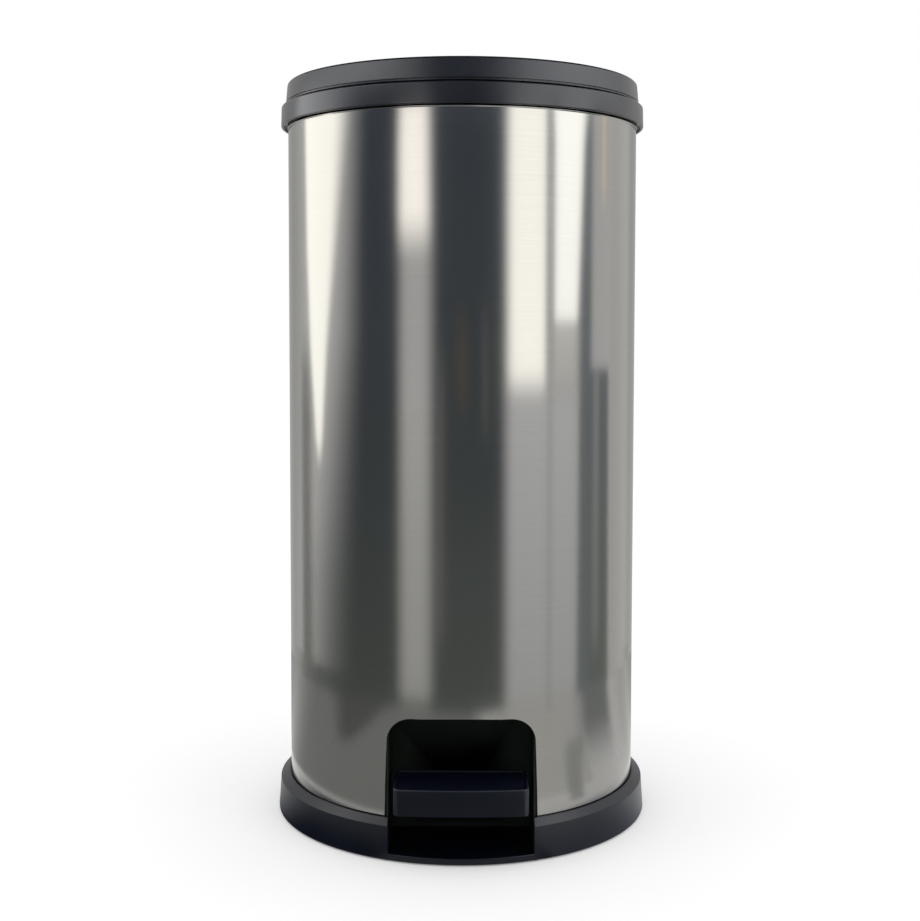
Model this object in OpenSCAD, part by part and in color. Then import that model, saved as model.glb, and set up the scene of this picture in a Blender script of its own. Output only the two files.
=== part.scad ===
// Round pedal trash can: steel body, plastic base, collar and hinged lid, lift-out bucket,
// and the lever and push rod that open the lid. Millimetres, +Z up, the pedal faces -Y,
// and the origin is on the floor at the body's axis.

/* [Overall] */
// Height of the closed can, from the floor to the top of the lid
total_h = 607; // [580:1:640]
// Outside diameter of the steel body
body_d = 290.8; // [288:0.2:296]
// Thickness of the steel sheet
sheet_t = 0.6; // [0.5:0.1:0.8]

/* [Base] */
// Height of the plastic base ring's top edge
base_h = 31.3; // [30:0.1:32]
// Outside diameter of the base ring at the floor
base_d = 311.4; // [310:0.2:315]
// Diameter of each rubber foot
foot_d = 17; // [14:1:18]

/* [Pedal recess] */
// Width of the steel cut-out at its top
recess_w = 112.5; // [110:0.5:114]
// Width of the steel cut-out at the base ring
recess_low_w = 117.3; // [115:0.1:118]
// Height of the cut-out's top edge above the floor
recess_top = 109.3; // [108:0.1:112]
// Radius of the cut-out's top corners
recess_corner = 19; // [15:1:21]
// Width of the gap that the base ring leaves for the pedal
ring_gap_w = 111.8; // [110:0.2:112]
// Height of the lip that the base ring keeps in front of the pedal
ring_lip_h = 5.9; // [5:0.1:8]
// Distance of the recess's back wall from the body's axis
recess_back = 80; // [78:1:84]

/* [Pedal] */
// Width of the pedal
pedal_w = 102; // [96:1:104]
// Height of the pedal's front face
pedal_h = 20.4; // [19:0.1:22]
// Height of the pedal's lower edge above the floor, at rest
pedal_low = 40.6; // [40:0.1:42]
// Distance of the pedal's front face from the body's axis
pedal_reach = 163.5; // [160:0.5:164]
// Length of the pedal, front to back
pedal_l = 51; // [46:1:54]
// How far the pedal turns, in degrees
pedal_travel = 11; // [10.8:0.1:11.2]

/* [Collar and lid] */
// Outside diameter of the plastic collar round the body's top
collar_d = 302.4; // [301:0.2:305]
// Height of the collar's outside face
collar_h = 16.2; // [15:0.2:18]
// Outside diameter of the lid's side band
lid_d = 294.4; // [293:0.2:296]
// Height of the lid's side band
lid_h = 18.2; // [17:0.1:19]
// Height of the open joint between the lid and the collar
lid_gap = 1; // [0.8:0.1:1.2]
// How far the lid opens, in degrees
lid_open = 78; // [76:1:80]

/* [Bucket] */
// Outside diameter of the lift-out bucket at its top
bucket_d = 252; // [244:1:252]
// Outside diameter of the lift-out bucket at its floor
bucket_low_d = 240; // [232:1:240]
// Height of the bucket's underside above the floor
bucket_z = 116; // [116:1:130]

/* [Hidden] */
$fn = 96;
eps = 0.01;      // overlap that joins two pieces of one solid
far = 400;       // longer than anything a cutter has to pass through
run_fit = 0.06;  // radial clearance of a pin that turns or slides in its bore

body_r = body_d / 2;
body_in = body_r - sheet_t;

// Heights of the collar and lid, down from the top
lid_low = total_h - lid_h;
collar_top = lid_low - lid_gap;
collar_low = collar_top - collar_h;
collar_r = collar_d / 2;
lid_r = lid_d / 2;
shell_top = collar_low + 4;

// Base
wall = 2.5;
deck_low = 50;
deck_t = 3;
deck_top = deck_low + deck_t;
spigot_top = deck_top + 2;
groove_floor = base_h - 2.3;
ring_low = 1;
base_r = base_d / 2;
bevel_r = base_r - 1.7;
bevel_z = base_h - 4.7;
foot_t = 2.5;
foot_ring_r = 133;

// Linkage: the rod rises by rod_lift while the lid opens and the pedal goes down
rod_lift = 26.5;
rod_r = 2.25;
hinge_y = body_r + 7;
hinge_z = collar_top + 0.8;
hinge_r = 2.5;
knuckle_r = 6.5;
crank_len = rod_lift / 2 / sin(lid_open / 2);
crank_y = hinge_y - crank_len * cos(lid_open / 2);
crank_z = hinge_z - rod_lift / 2;
crank_r = 2;
rod_y = hinge_y - crank_len * (1 + cos(lid_open / 2)) / 2;
tilt = pedal_travel / 2;
lever_back = rod_lift * cos(tilt) / (2 * sin(tilt));
pivot_y = rod_y - lever_back;
pivot_z = 30;
axle_r = 3;

// Lever, in its own axes: y along it from the pivot, z square to it
lever_w = 30;
lever_t = 2;
lever_up = 4;
lever_down = 7;
lever_front = -(pedal_reach + pivot_y) + 11;
lever_rear = lever_back + 6;
web_at_rod = pivot_z - lever_back * tan(tilt) + lever_up / cos(tilt);

// Sideways places of the hinge pieces, from the middle
crank_in = 4.5;
crank_out = 8;
arm_in = 24;
arm_out = 32;
ear_in = 34;
ear_out = 42;
pocket_half = 33.4;
slot_half = 11;

// Lid inside
lid_wall = 2.2;
lid_in = lid_r - lid_wall;
liner_rim = lid_low + 2.3;
liner_z = lid_low + 5.8;
liner_t = 2;
lid_roof = total_h - 2.6;
panel_r = lid_r - 13;
arm_z = liner_z - 3;
lid_screws = [[-22, 104], [22, 104], [-22, 126], [22, 126]];

// Bucket and its ledge
ledge_z = collar_top - 4.2;
flange_r = 137.5;
ledge_r = 138;
bucket_r = bucket_d / 2;
bucket_low_r = bucket_low_d / 2;
bail_z = ledge_z + 6.2;
bail_r = 129.5;
bail_wire = 2;
lug_in = 133.5;
lug_out = 136.5;

// Hinge cover
cover_half = 47;
cover_back = pedal_reach;
cover_low = collar_low - 13;
cover_t = 2;
cover_screw_x = 18;
cover_screw_z = collar_low + 5;

/* ---------- shared shapes ---------- */

// A ring between two radii and two heights
module ring(r_out, r_in, z0, z1) {
  translate([0, 0, z0])
    difference() {
      cylinder(r = r_out, h = z1 - z0);
      translate([0, 0, -1]) cylinder(r = r_in, h = z1 - z0 + 2);
    }
}

// A round bar along X, centred on x
module cross_bar(r, half, y, z, x = 0) {
  translate([x - half, y, z]) rotate([0, 90, 0]) cylinder(r = r, h = 2 * half);
}

// A block between two corners
module block(low, high) {
  translate(low) cube(high - low);
}

// The same thing on both sides of the middle
module both_sides() {
  children();
  mirror([1, 0, 0]) children();
}

// An upright arch drawn in x and z: straight sides and two round top corners
module arch(half_top, half_low, top, low, r) {
  corner_x = half_top - r;
  polygon(concat(
    [[half_low, low]],
    [for (a = [0 : 7.5 : 90]) [corner_x + r * cos(a), top - r + r * sin(a)]],
    [for (a = [90 : 7.5 : 180]) [-corner_x + r * cos(a), top - r + r * sin(a)]],
    [[-half_low, low]]
  ));
}

// Stands an x, z drawing up and pushes it back along +Y, from y0 to y1
module push_back(y0, y1) {
  translate([0, y1, 0]) rotate([90, 0, 0]) linear_extrude(y1 - y0) children();
}

// The lever's own axes, at the pedal's rest position
module on_lever() {
  translate([0, pivot_y, pivot_z]) rotate([-tilt, 0, 0]) children();
}

// A round-headed screw along +Z, its head's underside at 0
module screw(shank_r, shank_l, head_r, head_t) {
  translate([0, 0, -eps]) cylinder(r = shank_r, h = shank_l + eps);
  translate([0, 0, -head_t]) cylinder(r = head_r, h = head_t);
}

/* ---------- body and base ---------- */

// Rolled steel sheet, cut out for the pedal, with a small bead under the collar
module outer_shell() {
  bead = 0.55;
  body_mid = body_r - sheet_t / 2;
  color("#b9b4ad") {
    difference() {
      ring(body_r, body_in, groove_floor, shell_top);
      push_back(-far, 0)
        arch(recess_w / 2, recess_low_w / 2, recess_top, groove_floor - 1, recess_corner);
    }
    rotate_extrude()
      polygon([
        [body_mid, collar_low - 1.9], [body_r, collar_low - 1.9],
        [body_r + bead, collar_low - 0.9], [body_r + bead, collar_low - 0.5],
        [body_r, collar_low - 0.5], [body_mid, collar_low - 0.5]
      ]);
  }
}

// Outline of the base ring, its groove for the steel, the spigot inside it and the deck
module base_section() {
  spigot_out = body_in - 0.3;
  spigot_in = spigot_out - wall;
  polygon([
    [0, deck_low], [spigot_in, deck_low], [spigot_in, bevel_z], [base_r - 11, bevel_z - 1],
    [bevel_r - wall - 0.6, bevel_z - 3], [base_r - wall, ring_low], [base_r, ring_low],
    [bevel_r, bevel_z], [body_r + 2, base_h - 0.3], [body_r + 1.4, base_h],
    [body_r + 0.6, base_h], [body_r + 0.6, groove_floor], [spigot_out, groove_floor],
    [spigot_out, spigot_top], [spigot_in, spigot_top], [spigot_in, deck_top], [0, deck_top]
  ]);
}

// The base ring's outer form, filled in, to trim what stands inside it
module base_envelope() {
  translate([0, 0, ring_low])
    cylinder(r1 = base_r - 0.2, r2 = bevel_r - 0.2, h = bevel_z - ring_low);
  translate([0, 0, bevel_z - eps])
    cylinder(r1 = bevel_r - 0.2, r2 = body_r + 1.8, h = base_h - 0.3 - bevel_z);
}

// Moulded base: ring, deck, ribs, hangers for the axle, posts for the feet and the pedal's bay
module base_moulding() {
  rib_angles = [-35, 0, 40, 140, 180, 215];
  gap_half = ring_gap_w / 2;
  housing_half = gap_half + wall;
  hanger_in = 20;
  hanger_out = 26;
  hanger_low = pivot_z - 8;
  bay_half = housing_half + 0.3 + wall;
  bay_front = 130;
  color("#16181c")
    difference() {
      union() {
        difference() {
          union() {
            rotate_extrude() base_section();
            for (a = rib_angles)
              rotate([0, 0, a]) block([45, -1, 36], [143, 1, deck_low + eps]);
          }
          // room for the pedal housing behind the ring, and for the pedal through the ring
          intersection() {
            block([-housing_half, -far, 0], [housing_half, -recess_back + 2.4, far]);
            cylinder(r = body_r + 0.3, h = far);
          }
          block([-gap_half, -far, ring_lip_h], [gap_half, -recess_back + 2.4, far]);
        }
        // walls that close the ring's ends beside the pedal
        intersection() {
          base_envelope();
          both_sides()
            block([gap_half, -base_r, ring_low], [gap_half + wall, -(body_r - 12), base_h]);
          difference() {
            cylinder(r = base_r, h = base_h);
            translate([0, 0, -1]) cylinder(r = body_r + 0.3, h = base_h + 2);
          }
        }
        // floor and sides of the bay that the pedal drops into
        intersection() {
          translate([0, 0, ring_low]) cylinder(r = base_r - 1, h = deck_low);
          union() {
            block([-bay_half, -base_r, ring_low], [bay_half, -recess_back + 2.4, ring_low + wall]);
            both_sides()
              block([bay_half - wall, -bay_front, ring_low],
                    [bay_half, -recess_back + 2.4, deck_low + eps]);
          }
        }
        both_sides()
          block([hanger_in, pivot_y - 9, hanger_low], [hanger_out, pivot_y + 9, deck_low + eps]);
        for (a = [45 : 90 : 315])
          rotate([0, 0, a]) translate([foot_ring_r, 0, foot_t])
            cylinder(r = foot_d / 2 - 1, h = deck_low - foot_t + eps);
      }
      cross_bar(axle_r + 0.03, hanger_out + 1, pivot_y, pivot_z);
      translate([0, rod_y, 0]) cylinder(r = 8.5, h = far);
      for (a = [45 : 90 : 315])
        rotate([0, 0, a]) translate([foot_ring_r, 0, 0]) cylinder(r = 3.5, h = 9);
      both_sides() translate([38, -recess_back + 12, deck_low - 1]) cylinder(r = 1.5, h = 9);
    }
}

// Four push-in rubber feet
module rubber_feet() {
  color("#101113")
    for (a = [45 : 90 : 315])
      rotate([0, 0, a]) translate([foot_ring_r, 0, 0]) {
        cylinder(r = foot_d / 2, h = foot_t);
        cylinder(r = 3.4, h = 8.5);
      }
}

// Pocket behind the steel that the pedal moves in, with a flange against the steel
module pedal_housing() {
  in_half = ring_gap_w / 2;
  in_top = recess_top - 0.5;
  in_corner = recess_corner - 1;
  t = 2.2;
  edge_r = body_in - 0.4;
  slot = lever_w / 2 + 2;
  slot_low = 12;
  slot_top = 46;
  back = recess_back;
  housing_low = ring_low + wall + 0.3;
  color("#0d0e10")
    difference() {
      union() {
        intersection() {
          push_back(-edge_r, -back + t)
            arch(in_half + t, in_half + t, in_top + t, housing_low, in_corner + t);
          cylinder(r = edge_r, h = far);
        }
        intersection() {
          ring(edge_r, edge_r - 2, spigot_top + 1, recess_top + 12);
          block([-(in_half + 11), -far, 0], [in_half + 11, 0, far]);
        }
        both_sides()
          block([25, -back, deck_top], [51, -back + 19, deck_top + wall]);
      }
      push_back(-far, -back) arch(in_half, in_half, in_top, -1, in_corner);
      block([-slot, -back - 1, slot_low], [slot, -back + t + 1, slot_top]);
      both_sides() translate([38, -back + 12, 0]) cylinder(r = 1.6, h = far);
    }
}

// Two screws that hold the pedal housing down on the deck
module housing_screws() {
  color("#8d8f92")
    both_sides() translate([38, -recess_back + 12, deck_top + wall])
      mirror([0, 0, 1]) screw(1.5, wall + deck_t + 2, 3, 1.8);
}

/* ---------- lever, rod and their guides ---------- */

// Steel axle that the pedal lever turns on, grooved for its clips
module pivot_axle() {
  color("#9a9c9f")
    difference() {
      cross_bar(axle_r, 28.5, pivot_y, pivot_z);
      both_sides()
        difference() {
          cross_bar(axle_r + 1, 0.5, pivot_y, pivot_z, 27);
          cross_bar(axle_r - 0.6, 1, pivot_y, pivot_z, 27);
        }
    }
}

// Retaining clips in the axle's two grooves
module axle_clips() {
  clip_half = 0.4;
  color("#74767a")
    both_sides()
      difference() {
        cross_bar(axle_r + 3, clip_half, pivot_y, pivot_z, 27);
        cross_bar(axle_r - 0.55, clip_half + 1, pivot_y, pivot_z, 27);
        block([26, pivot_y - 1.6, pivot_z - 9], [28, pivot_y + 1.6, pivot_z]);
      }
}

// Two clips inside the steel body that keep the push rod straight
module rod_guides() {
  guide_h = 12;
  color("#202226")
    for (z = [200, 420])
      difference() {
        intersection() {
          block([-6, rod_y - 5, z], [6, body_r, z + guide_h]);
          cylinder(r = body_in - 0.2, h = far + far);
        }
        translate([0, rod_y, z - 1]) cylinder(r = rod_r + run_fit, h = guide_h + 2);
      }
}

// Wire that carries the lever's lift up to the lid
module push_rod() {
  low = web_at_rod - lever_t - 7;
  top = crank_z - 4;
  color("#a5a7aa") translate([0, rod_y, low]) cylinder(r = rod_r, h = top - low);
}

// Plastic head on the rod: a level slot takes the lid's crank pin
module rod_head() {
  half_l = crank_len * (1 - cos(lid_open / 2)) / 2 + crank_r + 0.6;
  half_h = crank_r + 0.6;
  low = crank_z - 11;
  color("#2a2c30")
    difference() {
      block([-4, rod_y - half_l - 2.5, low], [4, rod_y + half_l + 2.5, crank_z + 5.4]);
      both_sides_y(rod_y) cross_bar(half_h, 5, rod_y + half_l - half_h, crank_z);
      block([-5, rod_y - half_l + half_h, crank_z - half_h],
            [5, rod_y + half_l - half_h, crank_z + half_h]);
      translate([0, rod_y, low - 1]) cylinder(r = rod_r, h = crank_z - 4 - low + 1);
    }
}

// The same thing on both sides of the plane y = at
module both_sides_y(at) {
  children();
  translate([0, 2 * at, 0]) mirror([0, 1, 0]) children();
}

// Domed foot that the lever lifts
module rod_foot() {
  dome_r = 30;
  foot_r = 6.5;
  foot_h = 14;
  gap = 0.4;
  low = web_at_rod + gap;
  color("#2a2c30")
    difference() {
      intersection() {
        translate([0, rod_y, low]) cylinder(r = foot_r, h = foot_h);
        translate([0, rod_y, low + dome_r]) sphere(r = dome_r);
      }
      translate([0, rod_y, low - 1]) cylinder(r = rod_r, h = foot_h + 2);
    }
}

// Pressed steel channel from the pedal to the push rod
module pedal_lever() {
  half = lever_w / 2;
  hole_r = rod_r + 0.9;
  hole_at = lever_back + 0.5;
  color("#8b8e92")
    on_lever()
      difference() {
        block([-half, lever_front, -lever_down], [half, lever_rear, lever_up]);
        block([-half + lever_t, lever_front - 1, -lever_down - 1],
              [half - lever_t, lever_rear + 1, lever_up - lever_t]);
        cross_bar(axle_r + run_fit, half + 1, 0, 0);
        translate([0, hole_at, -1]) cylinder(r = hole_r, h = 8);
        for (p = rivet_places()) translate([p[0], p[1], -1]) cylinder(r = 2.5, h = 8);
      }
}

// Places of the rivets, in the lever's own axes
function rivet_places() = [
  for (x = [-7, 7]) for (y = [lever_front + 10, lever_front + 30]) [x, y]
];

// Plan of the pedal, drawn in by inset: a rounded rectangle with a bowed front
module pedal_plan(inset) {
  bow_r = 435;
  corner = 5 - inset / 2;
  x = pedal_w / 2 - inset;
  front = -pedal_reach + inset;
  back = -pedal_reach + pedal_l - inset;
  intersection() {
    union() {
      translate([-x, front + corner]) square([2 * x, back - front - 2 * corner]);
      translate([-x + corner, front]) square([2 * (x - corner), back - front]);
      for (i = [-1, 1]) for (y = [front + corner, back - corner])
        translate([i * (x - corner), y]) circle(r = corner);
    }
    translate([0, bow_r - pedal_reach]) circle(r = bow_r - inset, $fn = 360);
  }
}

// Hollow plastic pedal, with a raised rim round its top and a block that takes the lever
module pedal_tread() {
  shell = 2.6;
  top = pedal_low + pedal_h;
  plate_top = top - 1.2;
  plate_low = plate_top - 2.6;
  color("#1b1e24")
    difference() {
      union() {
        difference() {
          translate([0, 0, pedal_low]) linear_extrude(pedal_h) pedal_plan(0);
          translate([0, 0, pedal_low - 1]) linear_extrude(plate_low - pedal_low + 1)
            pedal_plan(shell);
        }
        block([-13, lever_front + pivot_y + 1, pedal_low + 2],
              [13, -pedal_reach + pedal_l - 1, plate_low + eps]);
      }
      translate([0, 0, plate_top]) linear_extrude(pedal_h) pedal_plan(2);
      // the lever lies under the block
      on_lever() block([-16, lever_front - 1, -40], [16, 0, lever_up]);
      on_lever()
        for (p = rivet_places()) translate([p[0], p[1], 0]) cylinder(r = 2.5, h = 9);
    }
}

// Four rivets through the lever into the pedal
module pedal_rivets() {
  color("#a2a4a7")
    on_lever()
      for (p = rivet_places())
        translate([p[0], p[1], lever_up - lever_t]) screw(2.5, lever_t + 5, 4, 1.4);
}

/* ---------- collar and rear hinge ---------- */

// Outline of the collar: outer skirt, top web, inner skirt and the bucket's ledge
module collar_section() {
  round_r = 2.5;
  skirt_in = body_r + 2;
  steel_gap = body_r + 0.3;
  inner_out = body_in - 0.5;
  inner_in = inner_out - 3;
  polygon(concat(
    [
      [bucket_r + 1, ledge_z - 3], [inner_in, ledge_z - 3], [inner_in, collar_low - 6],
      [inner_out, collar_low - 6], [inner_out, collar_top - 3], [skirt_in, collar_top - 3],
      [skirt_in, collar_low + 2], [steel_gap, collar_low + 2], [steel_gap, collar_low],
      [steel_gap + 0.5, collar_low]
    ],
    [
      for (a = [-90 : 15 : 0])
        [collar_r - round_r + round_r * cos(a), collar_low + round_r + round_r * sin(a)]
    ],
    [
      for (a = [0 : 15 : 90])
        [collar_r - round_r + round_r * cos(a), collar_top - round_r + round_r * sin(a)]
    ],
    [[ledge_r, collar_top], [ledge_r, ledge_z], [bucket_r + 1, ledge_z]]
  ));
}

// Plastic collar on the body's top, with ears for the hinge pin behind
module top_collar() {
  pocket_y = hinge_y - 7.8;
  color("#33353a")
    difference() {
      union() {
        rotate_extrude() collar_section();
        both_sides() {
          cross_bar(knuckle_r, (ear_out - ear_in) / 2, hinge_y, hinge_z, (ear_in + ear_out) / 2);
          block([ear_in, hinge_y - 11, collar_top - 10.2], [ear_out, hinge_y, collar_top]);
        }
      }
      block([-pocket_half, pocket_y, hinge_z - 7.5], [pocket_half, far, far * 2]);
      block([-slot_half, bucket_r, collar_low - 10], [slot_half, hinge_y - 3, far * 2]);
      cross_bar(hinge_r + 0.03, ear_out + 5, hinge_y, hinge_z);
      both_sides() translate([cover_screw_x, 0, cover_screw_z]) rotate([-90, 0, 0])
        cylinder(r = 1.5, h = far);
    }
}

// Steel pin of the lid's hinge
module hinge_pin() {
  color("#a8aaad") cross_bar(hinge_r, ear_out + 0.8, hinge_y, hinge_z);
}

// Cover over the hinge, behind the can
module hinge_cover() {
  corner = 6;
  top = collar_top - 0.2;
  boss_r = 4;
  screw_face = cover_back - 1.8;
  color("#2b2d31")
    difference() {
      union() {
        difference() {
          translate([0, 0, cover_low]) linear_extrude(top - cover_low) {
            translate([-cover_half, 100]) square([2 * cover_half, cover_back - 100 - corner]);
            translate([-cover_half + corner, 100])
              square([2 * (cover_half - corner), cover_back - 100]);
            both_sides()
              translate([cover_half - corner, cover_back - corner]) circle(r = corner);
          }
          block([-cover_half + cover_t, 90, cover_low + cover_t],
                [cover_half - cover_t, cover_back - cover_t, far * 2]);
        }
        both_sides() translate([cover_screw_x, 120, cover_screw_z]) rotate([-90, 0, 0])
          cylinder(r = boss_r, h = cover_back - 121);
      }
      cylinder(r = body_r + 0.2, h = far * 2);
      translate([0, 0, collar_low - 3.5]) cylinder(r = collar_r + 0.2, h = far);
      both_sides() translate([cover_screw_x, 0, cover_screw_z]) rotate([-90, 0, 0]) {
        cylinder(r = 1.6, h = far);
        translate([0, 0, screw_face]) cylinder(r = 3.4, h = far);
      }
    }
}

// Two screws that hold the hinge cover to the collar
module hinge_cover_screws() {
  color("#8d8f92")
    both_sides() translate([cover_screw_x, cover_back - 1.8, cover_screw_z])
      rotate([90, 0, 0]) screw(1.5, 14.5, 3.2, 1.6);
}

/* ---------- bucket ---------- */

// Lift-out plastic bucket, hung by its flange, with lugs for its handle
module inner_bucket() {
  t = 2;
  flange_t = 2;
  notch_half = slot_half + 0.5;
  color("#26282c")
    difference() {
      union() {
        rotate_extrude()
          polygon([
            [0, bucket_z], [bucket_low_r - 4, bucket_z], [bucket_low_r - 1, bucket_z + 1],
            [bucket_low_r, bucket_z + 4], [bucket_r, ledge_z - 3], [bucket_r, ledge_z],
            [flange_r, ledge_z], [flange_r, ledge_z + flange_t],
            [bucket_r - t, ledge_z + flange_t], [bucket_r - t, ledge_z - 3],
            [bucket_low_r - t, bucket_z + 5], [bucket_low_r - 4, bucket_z + t], [0, bucket_z + t]
          ]);
        both_sides()
          block([lug_in, -6, ledge_z + 1], [lug_out, 6, bail_z + 3.6]);
      }
      block([-notch_half, bucket_r, ledge_z - 1], [notch_half, far, far * 2]);
      cross_bar(bail_wire + run_fit, lug_out + 1, 0, bail_z);
    }
}

// Wire handle of the bucket, folded down over its front half
module bucket_handle() {
  end = 137.3;
  color("#b4b6b8") {
    translate([0, 0, bail_z]) rotate([0, 0, 180]) rotate_extrude(angle = 180)
      translate([bail_r, 0]) circle(r = bail_wire, $fn = 32);
    both_sides() {
      translate([bail_r, 0, bail_z]) sphere(r = bail_wire + 0.3, $fn = 32);
      cross_bar(bail_wire, (end - bail_r) / 2, 0, bail_z, (end + bail_r) / 2);
    }
  }
}

// Plastic grip in the middle of the wire handle
module handle_grip() {
  span = 36;
  grip_r = 4;
  color("#1e2024")
    translate([0, 0, bail_z]) rotate([0, 0, 270 - span / 2]) rotate_extrude(angle = span)
      translate([bail_r, 0]) difference() {
        circle(r = grip_r, $fn = 32);
        circle(r = bail_wire, $fn = 32);
      }
}

/* ---------- lid ---------- */

// Outline of the lid: lip, groove, side band, round edge and a slightly crowned panel
module lid_section() {
  round_r = 2.5;
  lip = 0.8;
  panel_drop = 1.1;
  crown = 0.9;
  steps = 8;
  polygon(concat(
    [
      [lid_in, lid_low], [lid_r + lip, lid_low], [lid_r + lip, lid_low + 1.2],
      [lid_r - 0.4, lid_low + 1.7], [lid_r - 0.4, lid_low + 2.1], [lid_r, lid_low + 2.5]
    ],
    [
      for (a = [0 : 15 : 90])
        [lid_r - round_r + round_r * cos(a), total_h - round_r + round_r * sin(a)]
    ],
    [[panel_r + 1.5, total_h]],
    [
      for (i = [0 : steps])
        let (r = panel_r * (1 - i / steps))
        [r, total_h - panel_drop + crown * (1 - pow(r / panel_r, 2))]
    ],
    [[0, lid_roof], [lid_in - 1.8, lid_roof], [lid_in, lid_roof - 1.8]]
  ));
}

// Moulded lid, notched behind for its hinge arm, with bosses for the arm's screws
module lid_cover() {
  boss_r = 4;
  color("#2e3035")
    difference() {
      union() {
        rotate_extrude() lid_section();
        for (p = lid_screws)
          translate([p[0], p[1], liner_z + liner_t])
            cylinder(r = boss_r, h = lid_roof - liner_z - liner_t + eps);
      }
      block([-ear_in, 120, lid_low - 1], [ear_in, 170, lid_low + 9]);
      for (p = lid_screws)
        translate([p[0], p[1], liner_z]) cylinder(r = 1.5, h = lid_roof - liner_z - 0.5);
    }
}

// Panel that closes the lid's underside
module lid_liner() {
  out = lid_in - 0.2;
  color("#24262a")
    difference() {
      rotate_extrude()
        polygon([
          [0, liner_z], [ledge_r + 0.5, liner_z], [ledge_r + 0.5, liner_rim], [out, liner_rim],
          [out, liner_rim + 8.5], [out - 2, liner_rim + 8.5], [out - 2, liner_rim + 2],
          [ledge_r + 2.5, liner_rim + 2], [ledge_r + 2.5, liner_z + liner_t],
          [0, liner_z + liner_t]
        ]);
      block([-pocket_half, 120, 0], [pocket_half, 170, liner_z]);
      for (p = lid_screws)
        translate([p[0], p[1], liner_z - 1]) cylinder(r = 1.6, h = liner_t + 2);
    }
}

// Arm under the lid: plate, two knuckles on the hinge pin, and the crank's two cheeks
module lid_hinge_arm() {
  plate_front = 96;
  plate_back = hinge_y - 10;
  cheek_r = 4.2;
  color("#3a3c41")
    difference() {
      union() {
        block([-arm_out, plate_front, arm_z], [arm_out, plate_back, liner_z]);
        both_sides() {
          block([arm_in, plate_back - eps, hinge_z], [arm_out, hinge_y, liner_z]);
          cross_bar(knuckle_r, (arm_out - arm_in) / 2, hinge_y, hinge_z, (arm_in + arm_out) / 2);
          cross_bar(cheek_r, (crank_out - crank_in) / 2, crank_y, crank_z,
                    (crank_in + crank_out) / 2);
          translate([crank_in, 0, 0]) rotate([90, 0, 90]) linear_extrude(crank_out - crank_in)
            polygon([
              [crank_y - cheek_r, crank_z], [crank_y + cheek_r, crank_z],
              [plate_back - 1, arm_z + 1], [plate_back - 12, arm_z + 1]
            ]);
        }
      }
      cross_bar(hinge_r + run_fit, arm_out + 2, hinge_y, hinge_z);
      cross_bar(crank_r, crank_out + 1, crank_y, crank_z);
      for (p = lid_screws)
        translate([p[0], p[1], arm_z - 1]) cylinder(r = 1.6, h = 5);
    }
}

// Pin across the crank, held in both cheeks
module crank_pin() {
  color("#a8aaad") cross_bar(crank_r, crank_out + 0.4, crank_y, crank_z);
}

// Four screws that hold the arm and the liner up to the lid
module lid_arm_screws() {
  color("#8d8f92")
    for (p = lid_screws)
      translate([p[0], p[1], arm_z]) screw(1.5, 9.5, 3, 1.6);
}

// Four rubber bumpers that the closed lid rests on
module lid_bumpers() {
  color("#141518")
    for (a = [30, 150, 210, 330])
      rotate([0, 0, a]) translate([ledge_r + 3.8, 0, collar_top + 0.3])
        cylinder(r = 2.6, h = liner_rim - collar_top - 0.3);
}

outer_shell();
base_moulding();
rubber_feet();
pedal_housing();
housing_screws();
pivot_axle();
axle_clips();
rod_guides();
top_collar();
hinge_cover();
hinge_cover_screws();
hinge_pin();
inner_bucket();
bucket_handle();
handle_grip();
lid_cover();
lid_liner();
lid_hinge_arm();
lid_arm_screws();
crank_pin();
lid_bumpers();
pedal_tread();
pedal_lever();
pedal_rivets();
push_rod();
rod_head();
rod_foot();
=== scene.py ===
"""Looks for the round pedal trash can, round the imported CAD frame.

Metres; shapes are written in millimetres, and the mesh helpers scale them by MM.
"""

from math import atan2, cos, hypot, pi, radians, sin, sqrt, tan

import bmesh
import bpy
from mathutils import Matrix, Vector


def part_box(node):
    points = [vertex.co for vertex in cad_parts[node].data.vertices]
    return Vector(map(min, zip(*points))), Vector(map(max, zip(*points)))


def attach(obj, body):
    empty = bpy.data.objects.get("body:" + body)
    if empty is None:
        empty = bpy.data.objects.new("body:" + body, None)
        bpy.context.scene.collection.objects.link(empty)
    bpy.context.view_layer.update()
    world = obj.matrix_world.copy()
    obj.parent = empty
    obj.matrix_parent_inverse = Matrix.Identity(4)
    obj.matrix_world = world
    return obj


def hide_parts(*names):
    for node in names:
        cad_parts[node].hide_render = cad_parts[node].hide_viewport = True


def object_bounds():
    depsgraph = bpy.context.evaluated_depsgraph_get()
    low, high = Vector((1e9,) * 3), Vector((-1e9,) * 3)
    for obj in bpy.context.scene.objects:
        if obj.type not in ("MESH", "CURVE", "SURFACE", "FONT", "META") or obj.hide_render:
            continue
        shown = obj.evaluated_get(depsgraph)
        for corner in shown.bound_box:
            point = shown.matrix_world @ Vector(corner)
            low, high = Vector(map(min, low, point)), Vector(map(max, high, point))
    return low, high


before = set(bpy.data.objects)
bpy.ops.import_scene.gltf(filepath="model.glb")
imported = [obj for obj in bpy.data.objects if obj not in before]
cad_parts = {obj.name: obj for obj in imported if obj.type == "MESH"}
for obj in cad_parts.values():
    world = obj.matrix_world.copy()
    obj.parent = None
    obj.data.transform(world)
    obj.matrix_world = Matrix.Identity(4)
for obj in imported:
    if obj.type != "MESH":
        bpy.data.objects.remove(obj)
cad_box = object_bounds()
MM = 0.001

# ---- places, from the frame

X, Y, Z = range(3)


def corners_mm(node):
    """Lowest and highest corner of a CAD node."""
    return [[v / MM for v in corner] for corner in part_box(node)]


def middle_mm(node):
    low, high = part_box(node)
    return [(a + b) / 2 / MM for a, b in zip(low, high)]


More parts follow.
